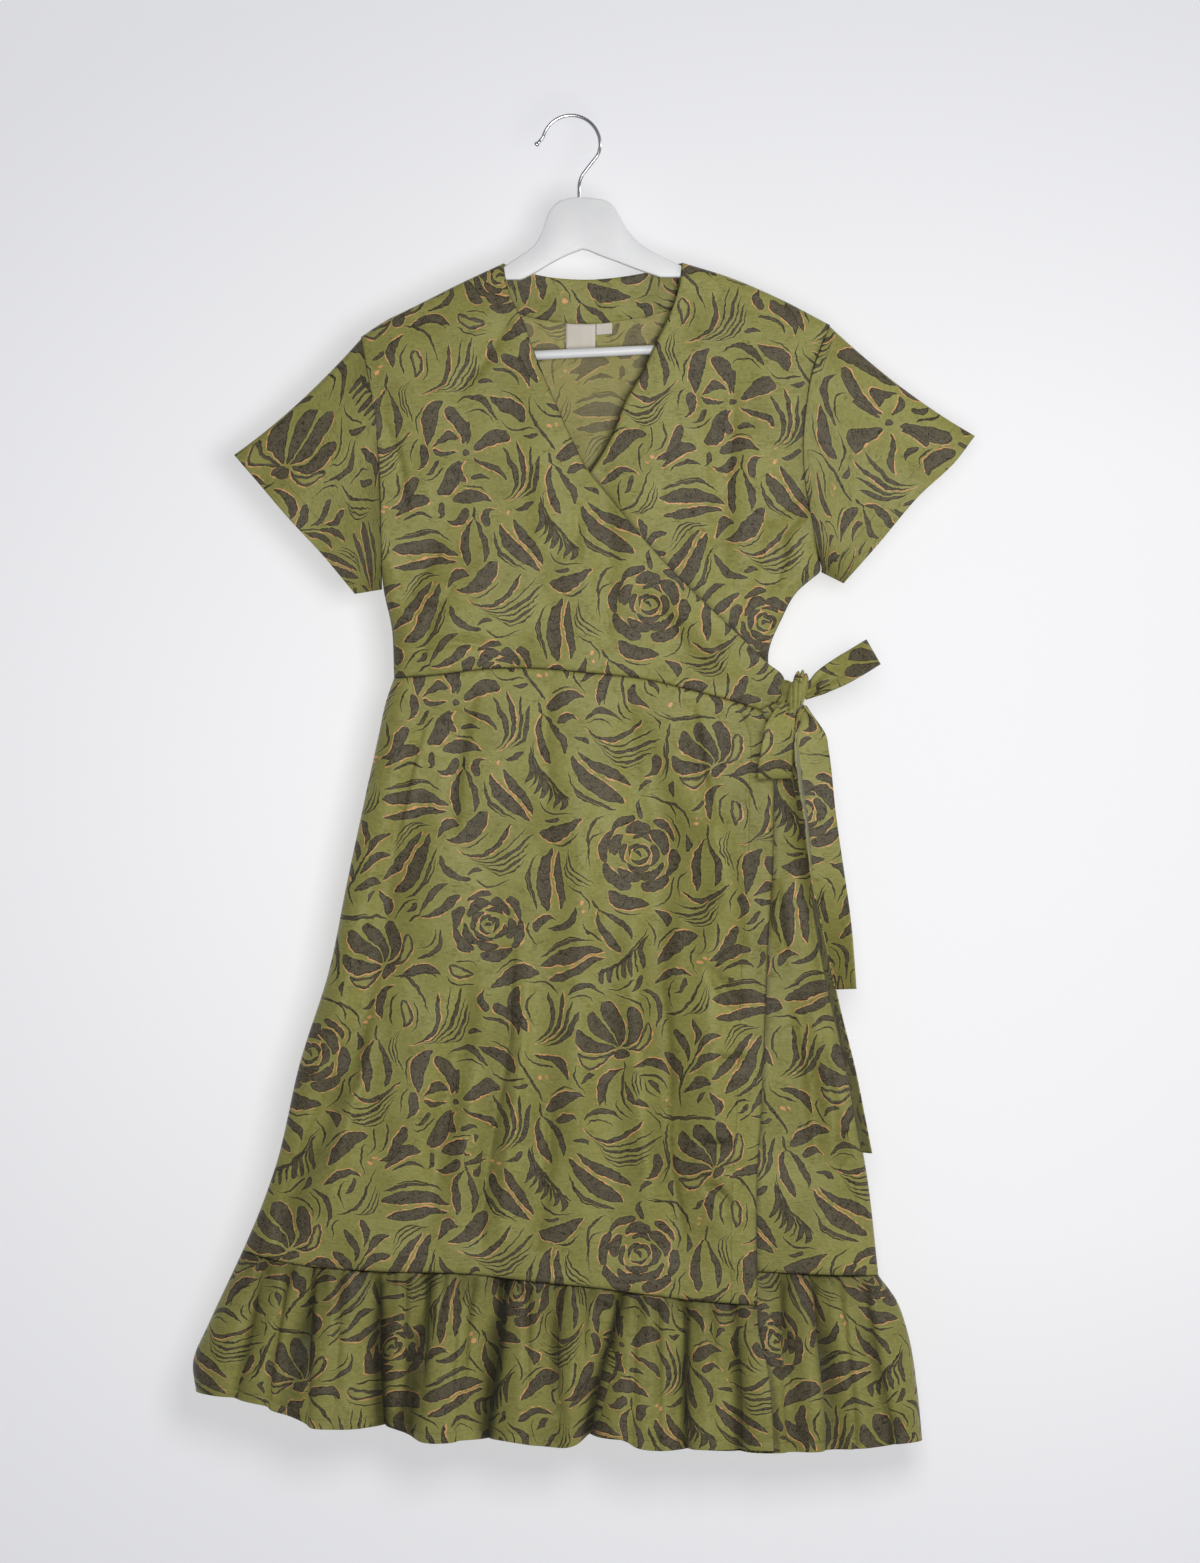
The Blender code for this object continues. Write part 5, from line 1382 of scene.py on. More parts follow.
def stitches(name, line, out, wall=WALL):
    """A row of short threads along a line, each with both ends down in the cloth."""
    way = lengths(line)
    total = way[-1]
    rings = ((0.0, -0.5, 0.35), (0.12, 0.25, 0.95), (0.5, 0.75, 1.1), (0.88, 0.25, 0.95), (1.0, -0.5, 0.35))
    turns = [(cos(a), sin(a)) for a in np.arange(5) * 2 * pi / 5]
    points, faces = [], []
    for start in np.arange(STITCH_CLEAR, total - STITCH - STITCH_CLEAR, STITCH_PITCH):
        begin, end = walk(line, (start / total, (start + STITCH) / total))
        up = np.array([np.interp(start + STITCH / 2, way, out[:, k]) for k in range(3)])
        run = (end - begin) / np.linalg.norm(end - begin)
        aside = np.cross(run, up)
        first = len(points)
        for share, rise, full in rings:
            middle = begin + (end - begin) * share + up * (wall / 2 + THREAD * rise)
            points += [middle + THREAD * full * (c * aside + s * up) for c, s in turns]
        for low in range(first, first + 5 * (len(rings) - 1), 5):
            for k in range(5):
                corner, next_corner = low + k, low + (k + 1) % 5
                faces.append((corner, next_corner, next_corner + 5, corner + 5))
        faces.append(tuple(range(first + 4, first - 1, -1)))
        faces.append(tuple(range(len(points) - 5, len(points))))
    mesh = bpy.data.meshes.new(name)
    mesh.from_pydata((np.array(points) * MM).tolist(), [], faces)
    mesh.shade_smooth()
    piece = place_mesh(name, mesh, [bpy.data.materials["sewing_thread"]])
    carry(piece, None)
    return piece


def painted_seam_shade(grid, seams=(), beside=None):
    """Painted shade: how deep each place lies in a seam, or in the shade of the edge that laps over it, 0 to
    1; it darkens the cloth's colour.
    """
    shade = np.zeros(grid.shape[:-1])
    for side in seams:
        shade = np.maximum(shade, np.exp(-inset_from(grid, side) / SEAM_SHADE))
    if beside:
        near, gap, _ = near_way(grid, beside, 3 * LAP_SHADE)
        shade[near] = np.maximum(shade[near], 0.6 * bell(gap, LAP_SHADE))
    return shade


def cloth(
    name, node, points, cut, looks, rests_on, closed=False, wall=WALL, held="hung", sewn=(), painted_shade=None
):
    """A thin shell through rows of points, in its node's stead, with stitches in from some edges."""
    rows = np.concatenate((points, points[:, :1]), axis=1) if closed else points
    for side, inset in sewn:
        stitches(f"{name}_{side}_stitches", *line_inside(rows, side, inset), wall)
    cut = cut + np.array(CUT_AT[name])
    piece = place_mesh(name, sheet_mesh(name, points, cut, closed), looks)
    shell = {"thickness": wall * MM, "offset": 0.0, "material_offset": 1, "use_quality_normals": True}
    finish_with(piece, "SOLIDIFY", **shell)
    # painted shade, kept on both faces of the shell
    if painted_shade is not None:
        shade = piece.data.attributes.new("painted_shade", "FLOAT", "POINT")
        shade.data.foreach_set("value", np.tile(painted_shade.ravel(), 2))
    lay_print(piece)
    carry(piece, node)
    long = max(lengths(column)[-1] for column in rows.swapaxes(0, 1))
    cut_area(rows)


def cut_area(rows):
    """Flat area of the cloth in the piece: what it takes with its folds, in square metres."""
    across = rows[1:, 1:] - rows[:-1, :-1]
    down = rows[1:, :-1] - rows[:-1, 1:]
    return float(np.linalg.norm(np.cross(across, down), axis=-1).sum() / 2 * MM**2)


def carry(piece, node):
    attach(piece, "root")
    if node:
        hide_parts(node)


def cut_flat(grid):
    """The panel's places on the cloth it is cut from: across and up."""
    return grid * (1, -1)


def cut_by_length(points, rank):
    """The same for cloth in waves: as wide and as long as one row and column of it really are."""
    return np.stack(np.meshgrid(lengths(points[len(points) // 2]), -lengths(points[:, rank])), axis=-1)


# ---- the dress ----


def seam_dip(grid, *seams):
    """Depth of the dip in which the cloth goes into its seams."""
    return sum(SEAM_TUCK * np.exp(-inset_from(grid, side) / SEAM_REACH) for side in seams)


def hung(grid, sides, folded, inset=0.0, back=False):
    """Points of a panel that hangs before the mid-plane, or behind it."""
    out = np.maximum(body_depth(grid, sides, folded, inset), FOLDED_SEAM)
    return standing(grid, -out)[:, ::-1] if back else standing(grid, out)


def all_folds(folds, creases, grid, seed):
    gain = np.interp(grid[..., 1], GAIN_DROPS, FOLD_GAIN)
    return gain * (fold_depth(folds, grid) + fold_depth(creases, grid)) + unevenness(grid, seed)


def front_folds(grid, seed):
    return all_folds(FRONT_FOLDS, FRONT_CREASES, grid, seed)


def back_folds(grid, seed):
    return all_folds(BACK_FOLDS, BACK_CREASES, grid, seed)


def bodice(looks):
    edges = map(edge, (SHOULDER_LEFT, WAIST_OVER, BODICE_SIDE_LEFT, NECK_OVER))
    grid = panel(edges, ("foot", "left"))
    folded = front_folds(grid, 11) + seam_dip(grid, "foot") + puckers(grid, "foot", 21)
    points = hung(grid, "left", folded + rolled(grid, "right"))
    on = {"rests_on": "hanger_wood", "painted_shade": painted_seam_shade(grid, ("foot", "left", "right"))}
    cloth("front_over_cloth", "bodice_front_over", points, cut_flat(grid), looks, **on)

    edges = map(edge, (SHOULDER_RIGHT, WAIST_UNDER, NECK_UNDER, BODICE_SIDE_RIGHT))
    grid = panel(edges, ("foot", "right"))
    folded = front_folds(grid, 12) + seam_dip(grid, "foot") + rolled(grid, "left")
    points = hung(grid, "right", folded, LAP)
    on["painted_shade"] = painted_seam_shade(grid, ("foot", "left", "right"), NECK_OVER)
    cloth("front_under_cloth", "bodice_front_under", points, cut_flat(grid), looks, **on)

    top = edge(SHOULDER_LEFT, NECK_BACK, SHOULDER_RIGHT)
    edges = top, edge(WAIST_BACK), edge(BODICE_SIDE_LEFT), edge(BODICE_SIDE_RIGHT)
    grid = panel(edges, ("foot", "left", "right"), BACK_STEP)
    points = hung(grid, "left right", back_folds(grid, 13) + seam_dip(grid, "foot"), back=True)
    on["painted_shade"] = painted_seam_shade(grid, ("foot", "left", "right"))[:, ::-1]
    cloth("back_cloth", "bodice_back", points, cut_flat(grid)[:, ::-1], looks, **on)


def skirt(looks):
    seams = ("top", "foot")
    edges = map(edge, (WAIST_OVER, RUFFLE_SEAM_OVER, SKIRT_SIDE_LEFT, FRONT_EDGE_OVER))
    grid = panel(edges, seams)
    folded = front_folds(grid, 14) + seam_dip(grid, *seams) + puckers(grid, "top", 22)
    folded += turned_edge(grid, "right", PLACKET, 24) + placket_puckers(grid) + rolled(grid, "right")
    points = hung(grid, "left", folded)
    on = {"rests_on": "front_over_cloth", "sewn": [("right", PLACKET)]}
    on["painted_shade"] = painted_seam_shade(grid, ("top", "foot", "right"))
    cloth("skirt_over_cloth", "skirt_front_over", points, cut_flat(grid), looks, **on)

    edges = map(edge, (WAIST_UNDER, RUFFLE_SEAM_UNDER, FRONT_EDGE_UNDER, SKIRT_SIDE_RIGHT))
    grid = panel(edges, seams)
    points = hung(grid, "right", front_folds(grid, 15) + seam_dip(grid, *seams), LAP)
    on = {"rests_on": "front_under_cloth", "painted_shade": painted_seam_shade(grid, seams, FRONT_EDGE_OVER)}
    cloth("skirt_under_cloth", "skirt_front_under", points, cut_flat(grid), looks, **on)

    edges = map(edge, (WAIST_BACK, RUFFLE_SEAM_BACK, SKIRT_SIDE_LEFT, SKIRT_SIDE_RIGHT))
    grid = panel(edges, seams, BACK_STEP)
    points = hung(grid, "left right", back_folds(grid, 16) + seam_dip(grid, *seams), back=True)
    on = {"rests_on": "back_cloth", "painted_shade": painted_seam_shade(grid, seams)[:, ::-1]}
    cloth("skirt_back_cloth", "skirt_back", points, cut_flat(grid)[:, ::-1], looks, **on)


def ruffle_points(grid, sides, waves, pleats, seam, seeds, inset=0.0, back=False, beside=None):
    """Points and painted shade of a gathered strip: broad waves, pleats, gathers at its seam and a turned
    hem.
    """
    pleat, drawn = pleated(grid, pleats, seam)
    folded = ruffle_depth(waves, grid, seam) + pleat + gathers(grid, seam, seeds[0]) + seam_dip(grid, "top")
    folded += unevenness(grid, seeds[1], 0.6) + turned_edge(grid, "foot", HEM_TURN, seeds[1] + 40)
    ends = np.minimum(inset_from(grid, "left"), inset_from(grid, "right"))
    points = hung(grid, sides, folded, inset, back)
    shift = drawn * ease(ends / LOOSE_END)
    points[..., 0] += shift[:, ::-1] if back else shift
    # painted shade: darker deep in the troughs and near the gathered seam
    shade = TROUGH_SHADE * ease((folded - np.median(folded)) / TROUGH_DEEP)
    shade = np.maximum(shade, GATHER_SHADE * np.exp(-inset_from(grid, "top") / GATHER_REACH))
    return points, np.maximum(shade, painted_seam_shade(grid, ("top",), beside))[:, :: -1 if back else 1]


def ruffle(looks):
    def strip_of_cloth(name, node, points, painted_shade, above_it):
        cut = cut_by_length(points, points.shape[1] // 2)
        sewn = [("foot", HEM_TURN)]
        cloth(name, node, points, cut, looks, held="gathered", sewn=sewn, rests_on=above_it, painted_shade=painted_shade)

    edges = map(edge, (RUFFLE_SEAM_OVER, HEM_OVER, RUFFLE_SIDE_LEFT, RUFFLE_SIDE_OVER))
    grid = panel(edges, ("top",), RUFFLE_STEP)
    points, painted_shade = ruffle_points(grid, "left", FRONT_RUFFLES, PLEATS, RUFFLE_SEAM_OVER, (31, 17))
    painted_shade = np.maximum(painted_shade, painted_seam_shade(grid, ("right",)))
    strip_of_cloth("ruffle_over_cloth", "ruffle_front_over", points, painted_shade, "skirt_over_cloth")

    edges = map(edge, (RUFFLE_SEAM_UNDER, HEM_UNDER, RUFFLE_SIDE_UNDER, RUFFLE_SIDE_RIGHT))
    grid = panel(edges, ("top",), RUFFLE_STEP)
    lies = {"inset": LAP + RUFFLE_LAP, "beside": RUFFLE_SIDE_OVER}
    made = ruffle_points(grid, "right", FRONT_RUFFLES, PLEATS, RUFFLE_SEAM_UNDER, (32, 18), **lies)
    strip_of_cloth("ruffle_under_cloth", "ruffle_front_under", *made, "skirt_under_cloth")

    edges = map(edge, (RUFFLE_SEAM_BACK, HEM_BACK, RUFFLE_SIDE_LEFT, RUFFLE_SIDE_RIGHT))
    grid = panel(edges, ("top",), BACK_RUFFLE_STEP)
    made = ruffle_points(grid, "left right", BACK_RUFFLES, BACK_PLEATS, RUFFLE_SEAM_BACK, (33, 19), back=True)
    strip_of_cloth("ruffle_back_cloth", "ruffle_back", *made, "skirt_back_cloth")


def sleeve(name, node, armhole, side, cuff, looks):
    """A short tube from the armhole to its opening, flat as it hangs."""
    turn = np.linspace(0.0, 1.0, SLEEVE_ROUND + 1)
    from_top = 0.5 - 0.5 * np.cos(2 * pi * turn)  # 0 at the shoulder, 1 at the underarm
    hole = walk(armhole, from_top)
    hole_out = np.maximum(body_depth(hole, side) - SLEEVE_UNDER, 0.0) * np.where(turn < 0.5, 1.0, -1.0)
    hole_out[[0, SLEEVE_ROUND // 2, SLEEVE_ROUND]] = 0.0
    outward = -1.0 if side == "left" else 1.0
    hole[:, 0] += outward * ((UNDERARM_CLEAR + SLEEVE_TUCK) * from_top**6 - SLEEVE_TUCK)
    opening = walk(edge(cuff), from_top)
    opening_out = CUFF_HALF_DEPTH * np.sin(2 * pi * turn)
    points = []
    for t in ease(np.linspace(0.0, 1.0, SLEEVE_RINGS)) * 0.3 + np.linspace(0.0, 1.0, SLEEVE_RINGS) * 0.7:
        ring = (1 - t) * hole + t * opening
        ring[:, 1] += SLEEVE_SAG * 4 * t * (1 - t) * (1 - from_top)
        out = (1 - t) * hole_out + t * opening_out
        grown = sin(pi * np.interp(t, (0, 1), SLEEVE_FOLD_WAVE))
        for at, width, depth in SLEEVE_FOLDS:
            out = out - np.sign(out) * depth * grown * bell(turn - at, width)
        points.append(standing(ring, out))
    points = np.array(points)
    cut = cut_by_length(points, SLEEVE_ROUND // 4)
    reach = np.linalg.norm(points - points[:1], axis=-1)
    # painted shade in the fold beside the armhole
    painted_underarm_shade = UNDERARM_SHADE * np.exp(-reach / UNDERARM_REACH) * (0.2 + 0.8 * from_top**2)
    points, painted_underarm_shade = points[:, :-1], painted_underarm_shade[:, :-1]
    if side == "right":
        points, painted_underarm_shade, cut = points[:, ::-1], painted_underarm_shade[:, ::-1], cut[:, ::-1]
    on = {"rests_on": "hanger_wood", "painted_shade": np.maximum(painted_seam_shade(points, ("top",)), painted_underarm_shade)}
    cloth(name, node, points, cut, looks, closed=True, sewn=[("foot", CUFF_TURN)], **on)


def facing(looks, tape):
    """The back neck facing with its seam, and two bare woven labels below it."""

    def lying_on_back(across, below_seam, falls):
        """Places and points of cloth that lies inside the back, from a way below the neck seam down."""
        top = drop_at(edge(NECK_BACK), across) + below_seam
        grid = np.stack(np.broadcast_arrays(across, top + falls[:, None]), axis=-1)
        out = body_depth(grid, "left right", back_folds(grid, 13)) - FACING_CLEAR
        return cut_flat(grid)[:, ::-1], standing(grid, -out)[:, ::-1]

    cut, points = lying_on_back(np.linspace(*FACING_ACROSS, 44), 0.0, FACING_FALL * np.linspace(0, 1, 18))
    cloth("facing_cloth", "neck_facing", points, cut, looks, rests_on="back_cloth")
    for node, left, right, length in LABELS:
        falls = length * np.linspace(0, 1, 12)
        cut, points = lying_on_back(np.linspace(left, right, 12), FACING_FALL + LABEL_GAP, falls)
        name = f"{node}_tape"
        piece = place_mesh(name, sheet_mesh(name, points, cut), [tape])
        finish_with(piece, "SOLIDIFY", thickness=TAPE_WALL * MM, offset=0.0)
        carry(piece, node)


def strip(name, node, table, looks, ruck=1.0):
    """A flat tie laid along its table; where it is drawn together it lies in lengthwise folds."""
    rows = smooth(table, np.linspace(0, 1, TIE_ROWS * len(table)))
    share = np.linspace(-0.5, 0.5, TIE_COLUMNS)
    points = []
    for across, drop, out, slant, lean, width in rows:
        middle = np.array((across, -out, -drop))
        flat = cos(radians(lean))
        side = np.array((flat * cos(radians(slant)), -sin(radians(lean)), flat * sin(radians(slant))))
        points.append([middle + side * width * at for at in share])
    points = np.array(points)
    along = np.gradient(points[:, TIE_COLUMNS // 2], axis=0)
    face = np.cross(points[:, -1] - points[:, 0], along)
    face /= np.linalg.norm(face, axis=-1, keepdims=True)
    drawn = np.clip(1 - rows[:, 5] / TIE_WIDTH, 0, 1)[:, None]
    folds = ruck * drawn * TIE_RUCK * np.cos(2 * pi * (share * 2.4 + 0.13 * np.sin(9 * drawn)))
    points += face[:, None] * folds[..., None]
    cut = np.stack(np.meshgrid(share * TIE_WIDTH, -lengths(points[:, TIE_COLUMNS // 2])), axis=-1)
    cloth(name, node, points, cut, looks, wall=TIE_WALL, held="folded", rests_on="knot_cloth")


def knot(looks):
    """The tie's wrap: a soft block with sharp folds down its front, narrower below the wrap's edge."""
    nothing_chosen()
    across, drop, out = KNOT_CENTRE
    bpy.ops.mesh.primitive_cube_add(size=1.0)
    piece = bpy.context.object
    piece.name = "knot_cloth"
    mesh = piece.data
    for corner in mesh.vertices:
        if corner.co.z < 0:
            corner.co.x *= KNOT_FOOT[0]
            corner.co.y *= KNOT_FOOT[1]
    finish_with(piece, "SUBSURF", levels=6, render_levels=6)
    places = np.array([tuple(corner.co) for corner in mesh.vertices])
    side, high = places[:, 0], places[:, 2]
    rub = side + 0.34 * high + 0.03 * np.sin(9 * high)
    full = 1 + 0.05 * np.sin(7.5 * rub + 1.0)
    for at, width, depth in KNOT_FOLDS:
        full -= depth * np.exp(-np.abs(rub - at) / width)
    below_wrap = KNOT_WRAP_FOOT + 0.35 * side - high
    full -= KNOT_STEP * ease(below_wrap / 0.05) * (1 - 0.4 * ease((-0.3 - high) / 0.2))
    full -= 0.10 * np.exp(-np.abs(below_wrap) / 0.025)
    places *= full[:, None]
    mesh.vertices.foreach_set("co", places.ravel())
    where = Matrix.Translation(Vector((across, -out, -drop)) * MM)
    turn = Matrix.Rotation(radians(KNOT_LEAN), 4, "Y")
    grow = Matrix.Diagonal((*(Vector(KNOT_SIZE) * MM * KNOT_CAGE), 1.0))
    mesh.transform(where @ turn @ grow)
    mesh.shade_smooth()
    layer = mesh.uv_layers.active or mesh.uv_layers.new()
    layer.name = "cut"
    for loop in mesh.loops:
        spot = mesh.vertices[loop.vertex_index].co
        layer.uv[loop.index].vector = (spot.x + spot.y + KNOT_CUT[0], spot.z + KNOT_CUT[1])
    mesh.materials.append(looks[0])
    lay_print(piece)
    carry(piece, "tie_knot")


def tie(looks):
    knot(looks)
    strip("tie_root_cloth", None, TIE_ROOT, looks, 1.6)
    strip("loop_up_cloth", "tie_loop_up", LOOP_UP, looks)
    strip("loop_down_cloth", "tie_loop_down", LOOP_DOWN, looks)
    # painted sheen: the long tail's back is a flat silver grey, the satin's paler back lightened to stand for
    # the sheen it catches edge-on
    pale = plain_look("tie_back_with_painted_sheen", (160, 158, 136), (138, 136, 112), 0.4, (0.4, 0.4, 3.0))
    strip("tail_long_cloth", "tie_tail_long", TAIL_LONG, [looks[0], pale])
    strip("tail_short_cloth", "tie_tail_short", TAIL_SHORT, looks)


# ---- hanger and hook ----


def bar_drop(across):
    (left, left_drop), (right, right_drop) = BAR_CENTRE
    return left_drop + (across - left) * (right_drop - left_drop) / (right - left)


def wood_stations():
    """The wood from its left end to its right: across, drop of its top and of its foot."""

    def under_cloth(across, foot=None):
        top = float(shoulder_drop(across)) + ARM_UNDER_CLOTH
        return (across, top, top + ARM_HEIGHT if foot is None else foot)

    crown_foot = smooth(CROWN_FOOT[::-1], np.linspace(0, 1, 60))
    crown_top = smooth(CROWN_TOP, np.linspace(0, 1, 50))
    crown = [(across, top, np.interp(across, *crown_foot.T)) for across, top in crown_top]
    left = [under_cloth(*place) for place in WOOD_END_LEFT]
    right = [under_cloth(*place) for place in WOOD_END_RIGHT]
    return [*left, *map(under_cloth, ARM_LEFT), *crown, *map(under_cloth, ARM_RIGHT), *right]


def choose_corners(mesh, numbers):
    shape = bmesh.from_edit_mesh(mesh)
    for corner in shape.verts:
        corner.select_set(corner.index in numbers)
    shape.select_flush(True)
    bmesh.update_edit_mesh(mesh)


def end_shaping():
    bpy.ops.mesh.select_all(action="SELECT")
    bpy.ops.mesh.normals_make_consistent(inside=False)
    bpy.ops.object.mode_set(mode="OBJECT")


def soft_edges(piece, width, steps):
    limits = {"limit_method": "ANGLE", "angle_limit": radians(60)}
    finish_with(piece, "BEVEL", width=width * MM, segments=steps, **limits)


def hard_piece(piece, look, node, sharp):
    """Smooth but for its sharp edges, with its finish and in its node's stead."""
    piece.data.shade_smooth()
    piece.data.set_sharp_from_angle(angle=radians(sharp))
    piece.data.materials.append(look)
    carry(piece, node)


def take_edge(mesh, across, *drops):
    """Moves the two chosen corners to their places, the upper one first."""
    shape = bmesh.from_edit_mesh(mesh)
    corners = sorted((corner for corner in shape.verts if corner.select), key=lambda corner: -corner.co.z)
    numbers = [corner.index for corner in corners]
    moves = [Vector((across, 0.0, -drop)) * MM - corner.co for corner, drop in zip(corners, drops)]
    for number, move in zip(numbers, moves):
        choose_corners(mesh, [number])
        bpy.ops.transform.translate(value=move)
    choose_corners(mesh, numbers)


def wood(look):
    """The hanger's wood: a flat strip drawn out station by station, given its thickness and rounded."""
    nothing_chosen()
    stations = wood_stations()
    bpy.ops.mesh.primitive_plane_add(size=MM, rotation=(pi / 2, 0.0, 0.0))
    piece = bpy.context.object
    piece.name = "wood"
    bpy.ops.object.transform_apply(location=True, rotation=True, scale=True)
    mesh = piece.data
    bpy.ops.object.mode_set(mode="EDIT")
    bpy.ops.mesh.select_mode(type="VERT")
    choose_corners(mesh, [corner.index for corner in bmesh.from_edit_mesh(mesh).verts if corner.co.x < 0])
    take_edge(mesh, *stations[0])
    bpy.ops.mesh.select_all(action="INVERT")
    take_edge(mesh, *stations[1])
    for station in stations[2:]:
        bpy.ops.mesh.extrude_edges_move(TRANSFORM_OT_translate={"value": (MM, 0.0, 0.0)})
        take_edge(mesh, *station)
    end_shaping()
    finish_with(piece, "SOLIDIFY", thickness=2 * HANGER_HALF * MM, offset=0.0)
    soft_edges(piece, HANGER_EDGE, 4)
    hard_piece(piece, look, "hanger_wood", 40)


def bar(look):
    nothing_chosen()
    left = Vector((BAR_ENDS[0], 0.0, -bar_drop(BAR_ENDS[0]))) * MM
    right = Vector((BAR_ENDS[1], 0.0, -bar_drop(BAR_ENDS[1]))) * MM
    bpy.ops.mesh.primitive_cylinder_add(vertices=40, radius=BAR_RADIUS * MM, depth=(right - left).length)
    piece = bpy.context.object
    piece.name = "bar"
    piece.rotation_mode = "QUATERNION"
    piece.rotation_quaternion = (right - left).to_track_quat("Z", "Y")
    piece.location = (left + right) / 2
    bpy.ops.object.transform_apply(location=True, rotation=True, scale=True)
    soft_edges(piece, BAR_EDGE, 3)
    hard_piece(piece, look, "hanger_bar", 40)


def spoke(degrees):
    """A millimetre's way in the mid-plane, 0 to the right and 90 up."""
    return Vector((cos(radians(degrees)), 0.0, sin(radians(degrees)))) * MM


def turn_wire(middle, degrees):
    """Turns the chosen ring on round a place in the mid-plane; plus is to the right over the top."""
    side = (0.0, -1.0 if degrees > 0 else 1.0, 0.0)
    steps = max(3, round(abs(degrees) / WIRE_STEP))
    bpy.ops.mesh.spin(steps=steps, angle=radians(abs(degrees)), center=middle, axis=side)


def draw_wire(way, size=1.0):
    """Draws the chosen ring on by a way in the mid-plane, and makes it wider or narrower."""
    bpy.ops.mesh.extrude_edges_move(TRANSFORM_OT_translate={"value": way})
    shape = bmesh.from_edit_mesh(bpy.context.object.data)
    ring = [corner.co for corner in shape.verts if corner.select]
    bpy.ops.transform.resize(value=(size,) * 3, center_override=sum(ring, Vector()) / len(ring))


def hook(look):
    """Bent chrome wire: turned over the rail from its tip, bent back, and drawn down into the wood."""
    nothing_chosen()
    first, last = HOOK_TURN
    middle = Vector((0.0, 0.0, HOOK_WIRE - HOOK_RADIUS)) * MM
    tip = middle + HOOK_RADIUS * spoke(first)
    ring = {"vertices": WIRE_SIDES, "radius": HOOK_WIRE * MM, "location": tip}
    bpy.ops.mesh.primitive_circle_add(rotation=(0.0, radians(180.0 - first), 0.0), **ring)
    piece = bpy.context.object
    piece.name = "wire"
    bpy.ops.object.transform_apply(location=True, rotation=True, scale=True)
    bpy.ops.object.mode_set(mode="EDIT")
    bpy.ops.mesh.select_mode(type="VERT")
    bpy.ops.mesh.select_all(action="SELECT")
    turn_wire(middle, first - last)
    middle += (HOOK_RADIUS - NECK_RADIUS) * spoke(last)
    turn_wire(middle, NECK_TURN)
    way_down = last - NECK_TURN
    draw_wire(NECK_STRAIGHT * spoke(way_down - 90.0))
    end = middle + NECK_RADIUS * spoke(way_down) + NECK_STRAIGHT * spoke(way_down - 90.0)
    turn_wire(end + FOOT_RADIUS * spoke(way_down), way_down)
    draw_wire(Vector((0.0, 0.0, -FOOT_STRAIGHT)) * MM)
    bpy.ops.mesh.edge_face_add()
    bpy.ops.mesh.select_all(action="DESELECT")
    corners = bmesh.from_edit_mesh(piece.data).verts
    near_tip = [corner.index for corner in corners if (corner.co - tip).length < HOOK_WIRE * 1.1 * MM]
    choose_corners(piece.data, near_tip)
    radius, flare, straight = TIP_TURN
    turn_wire(tip + radius * spoke(first), flare)
    onward = spoke(first + 90.0 - flare)
    draw_wire(straight * onward)
    for step, size in TIP_BALL:
        draw_wire(step * onward, size)
    bpy.ops.mesh.edge_face_add()
    end_shaping()
    hard_piece(piece, look, "hook", 50)


# ---- room, light and camera ----


def soft_light(name, place, size, power, aim, spared=None):
    lamp = bpy.data.lights.new(name, "AREA")
    lamp.size = size
    lamp.energy = power
    thing = bpy.data.objects.new(name, lamp)
    thing.location = place
    thing.rotation_mode = "QUATERNION"
    thing.rotation_quaternion = (Vector(aim) - Vector(place)).to_track_quat("-Z", "Y")
    bpy.context.scene.collection.objects.link(thing)
    if spared:
        unlit = bpy.data.collections.new(f"unlit_by_{name}")
        unlit.objects.link(spared)
        unlit.collection_objects[0].light_linking.link_state = "EXCLUDE"
        thing.light_linking.receiver_collection = unlit


def pale_surface(name, place, turn, glow=0.0):
    """A pale plane that shows from its front only, its colour darker away from a bright place as painted
    shade of the room's light falling off; a glow of its own, painted light, softens the shadows on it.
    """
    nothing_chosen()
    bpy.ops.mesh.primitive_plane_add(size=ROOM_SIZE, location=place, rotation=turn)
    plane = bpy.context.object
    plane.name = name
    look, wires, shader = empty_look(name)
    spot = wires.take("TexCoord", "Object")
    tone = wires.mix(wires.noise(spot, 0.8, 2.0), *[paint(*tone) for tone in WALL_TONES])
    reach = wires.vector("LENGTH", (spot + WALL_BRIGHT) * WALL_STRETCH)
    far = wires.between(reach, *WALL_REACH)
    wires.set(shader.inputs["Base Color"], wires.mix(far, tone, paint(*WALL_FAR_TONE)))
    shader.inputs["Roughness"].default_value = 0.9
    # painted light: the glow
    shader.inputs["Emission Color"].default_value = paint(250, 250, 253)
    shader.inputs["Emission Strength"].default_value = glow
    clear = wires.take("BsdfTransparent", 0)
    behind = wires.take("NewGeometry", "Backfacing")
    both = wires.take("MixShader", 0, {0: behind, 1: Value(wires, shader.outputs[0]), 2: clear})
    output = next(node for node in wires.tree.nodes if node.type == "OUTPUT_MATERIAL")
    wires.set(output.inputs["Surface"], both)
    plane.data.materials.append(look)
    plane.visible_shadow = False
    return plane


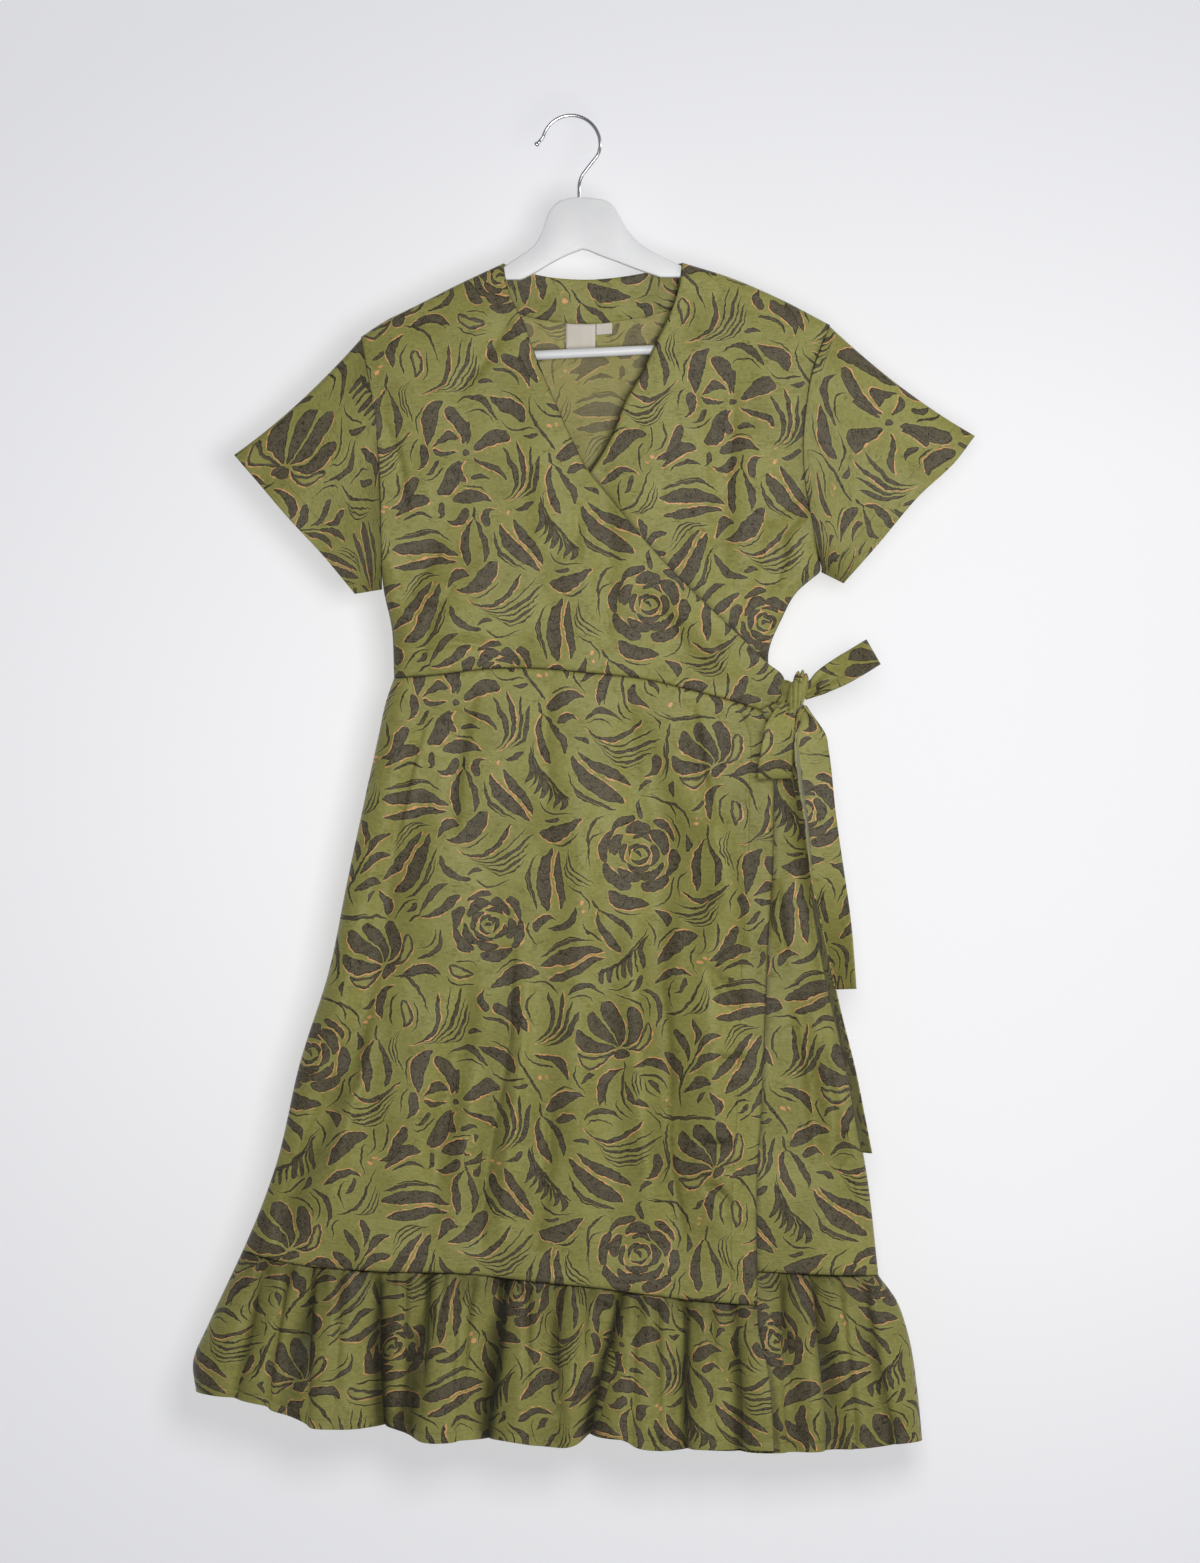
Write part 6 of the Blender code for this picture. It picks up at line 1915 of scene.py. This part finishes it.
def room():
    wall = pale_surface("wall", (0.0, WALL_BEHIND, -0.7), (pi / 2, 0.0, 0.0), WALL_GLOW)
    pale_surface("floor", (0.0, 0.0, FLOOR_LEVEL), (0.0, 0.0, 0.0))
    soft_light("key", (0.34, -1.75, -0.44), 0.7, 20.0, (0.02, 0.0, -0.6))
    soft_light("side", (2.6, -1.1, 0.3), 0.5, 15.0, (-0.2, 0.0, -0.6), spared=wall)
    soft_light("left", (-2.6, -2.8, 0.4), 2.4, 2.0, (0.0, 0.0, -0.7))
    soft_light("rear", (-0.6, 3.2, 0.8), 2.4, 45.0, (0.0, 0.0, -0.7))
    world = bpy.data.worlds.new("room_light")
    world.use_nodes = True
    world.node_tree.nodes["Background"].inputs["Color"].default_value = (0.93, 0.94, 0.96, 1.0)
    world.node_tree.nodes["Background"].inputs["Strength"].default_value = 0.22
    bpy.context.scene.world = world
    bpy.context.scene.view_settings.view_transform = "Standard"


def camera():
    lens = bpy.data.cameras.new("camera")
    lens.lens = 36.0 * CAMERA_AWAY / FRAME_HIGH
    thing = bpy.data.objects.new("camera", lens)
    thing.location = CAMERA_PLACE
    thing.rotation_euler = (pi / 2, 0.0, 0.0)
    bpy.context.scene.collection.objects.link(thing)
    bpy.context.scene.camera = thing


def dress_the_frame():
    camera()
    room()
    tools = stroke_tools()
    right_side = printed_cloth("printed_satin", tools, *[paint(*tone) for tone in RIGHT_SIDE])
    wrong_tones = [paint(*tone) for tone in WRONG_SIDE]
    wrong_side = printed_cloth("printed_satin_wrong_side", tools, *wrong_tones, strength=0.8)
    looks = [right_side, wrong_side]
    plain_look("sewing_thread", (112, 110, 62), (96, 94, 52), 0.6, (4.0, 4.0, 4.0))
    bodice(looks)
    skirt(looks)
    ruffle(looks)
    armhole = above(edge(BODICE_SIDE_LEFT), LEFT_UNDERARM)
    sleeve("sleeve_left_cloth", "sleeve_left", armhole, "left", CUFF_LEFT, looks)
    armhole = above(edge(BODICE_SIDE_RIGHT), RIGHT_UNDERARM)
    sleeve("sleeve_right_cloth", "sleeve_right", armhole, "right", CUFF_RIGHT, looks)
    tape = plain_look("woven_tape", (214, 207, 196), (204, 197, 185), 0.75, (3.0, 3.0, 9.0))
    facing([right_side, right_side], tape)
    tie([right_side, right_side])
    white = plain_look("white_paint", (232, 232, 232), (228, 228, 229), 0.38, (0.2, 1.0, 0.9))
    wood(white)
    bar(white)
    hook(plain_look("chrome_wire", (214, 214, 216), (200, 200, 204), 0.12, (2.0, 2.0, 0.3), 1.0))


dress_the_frame()
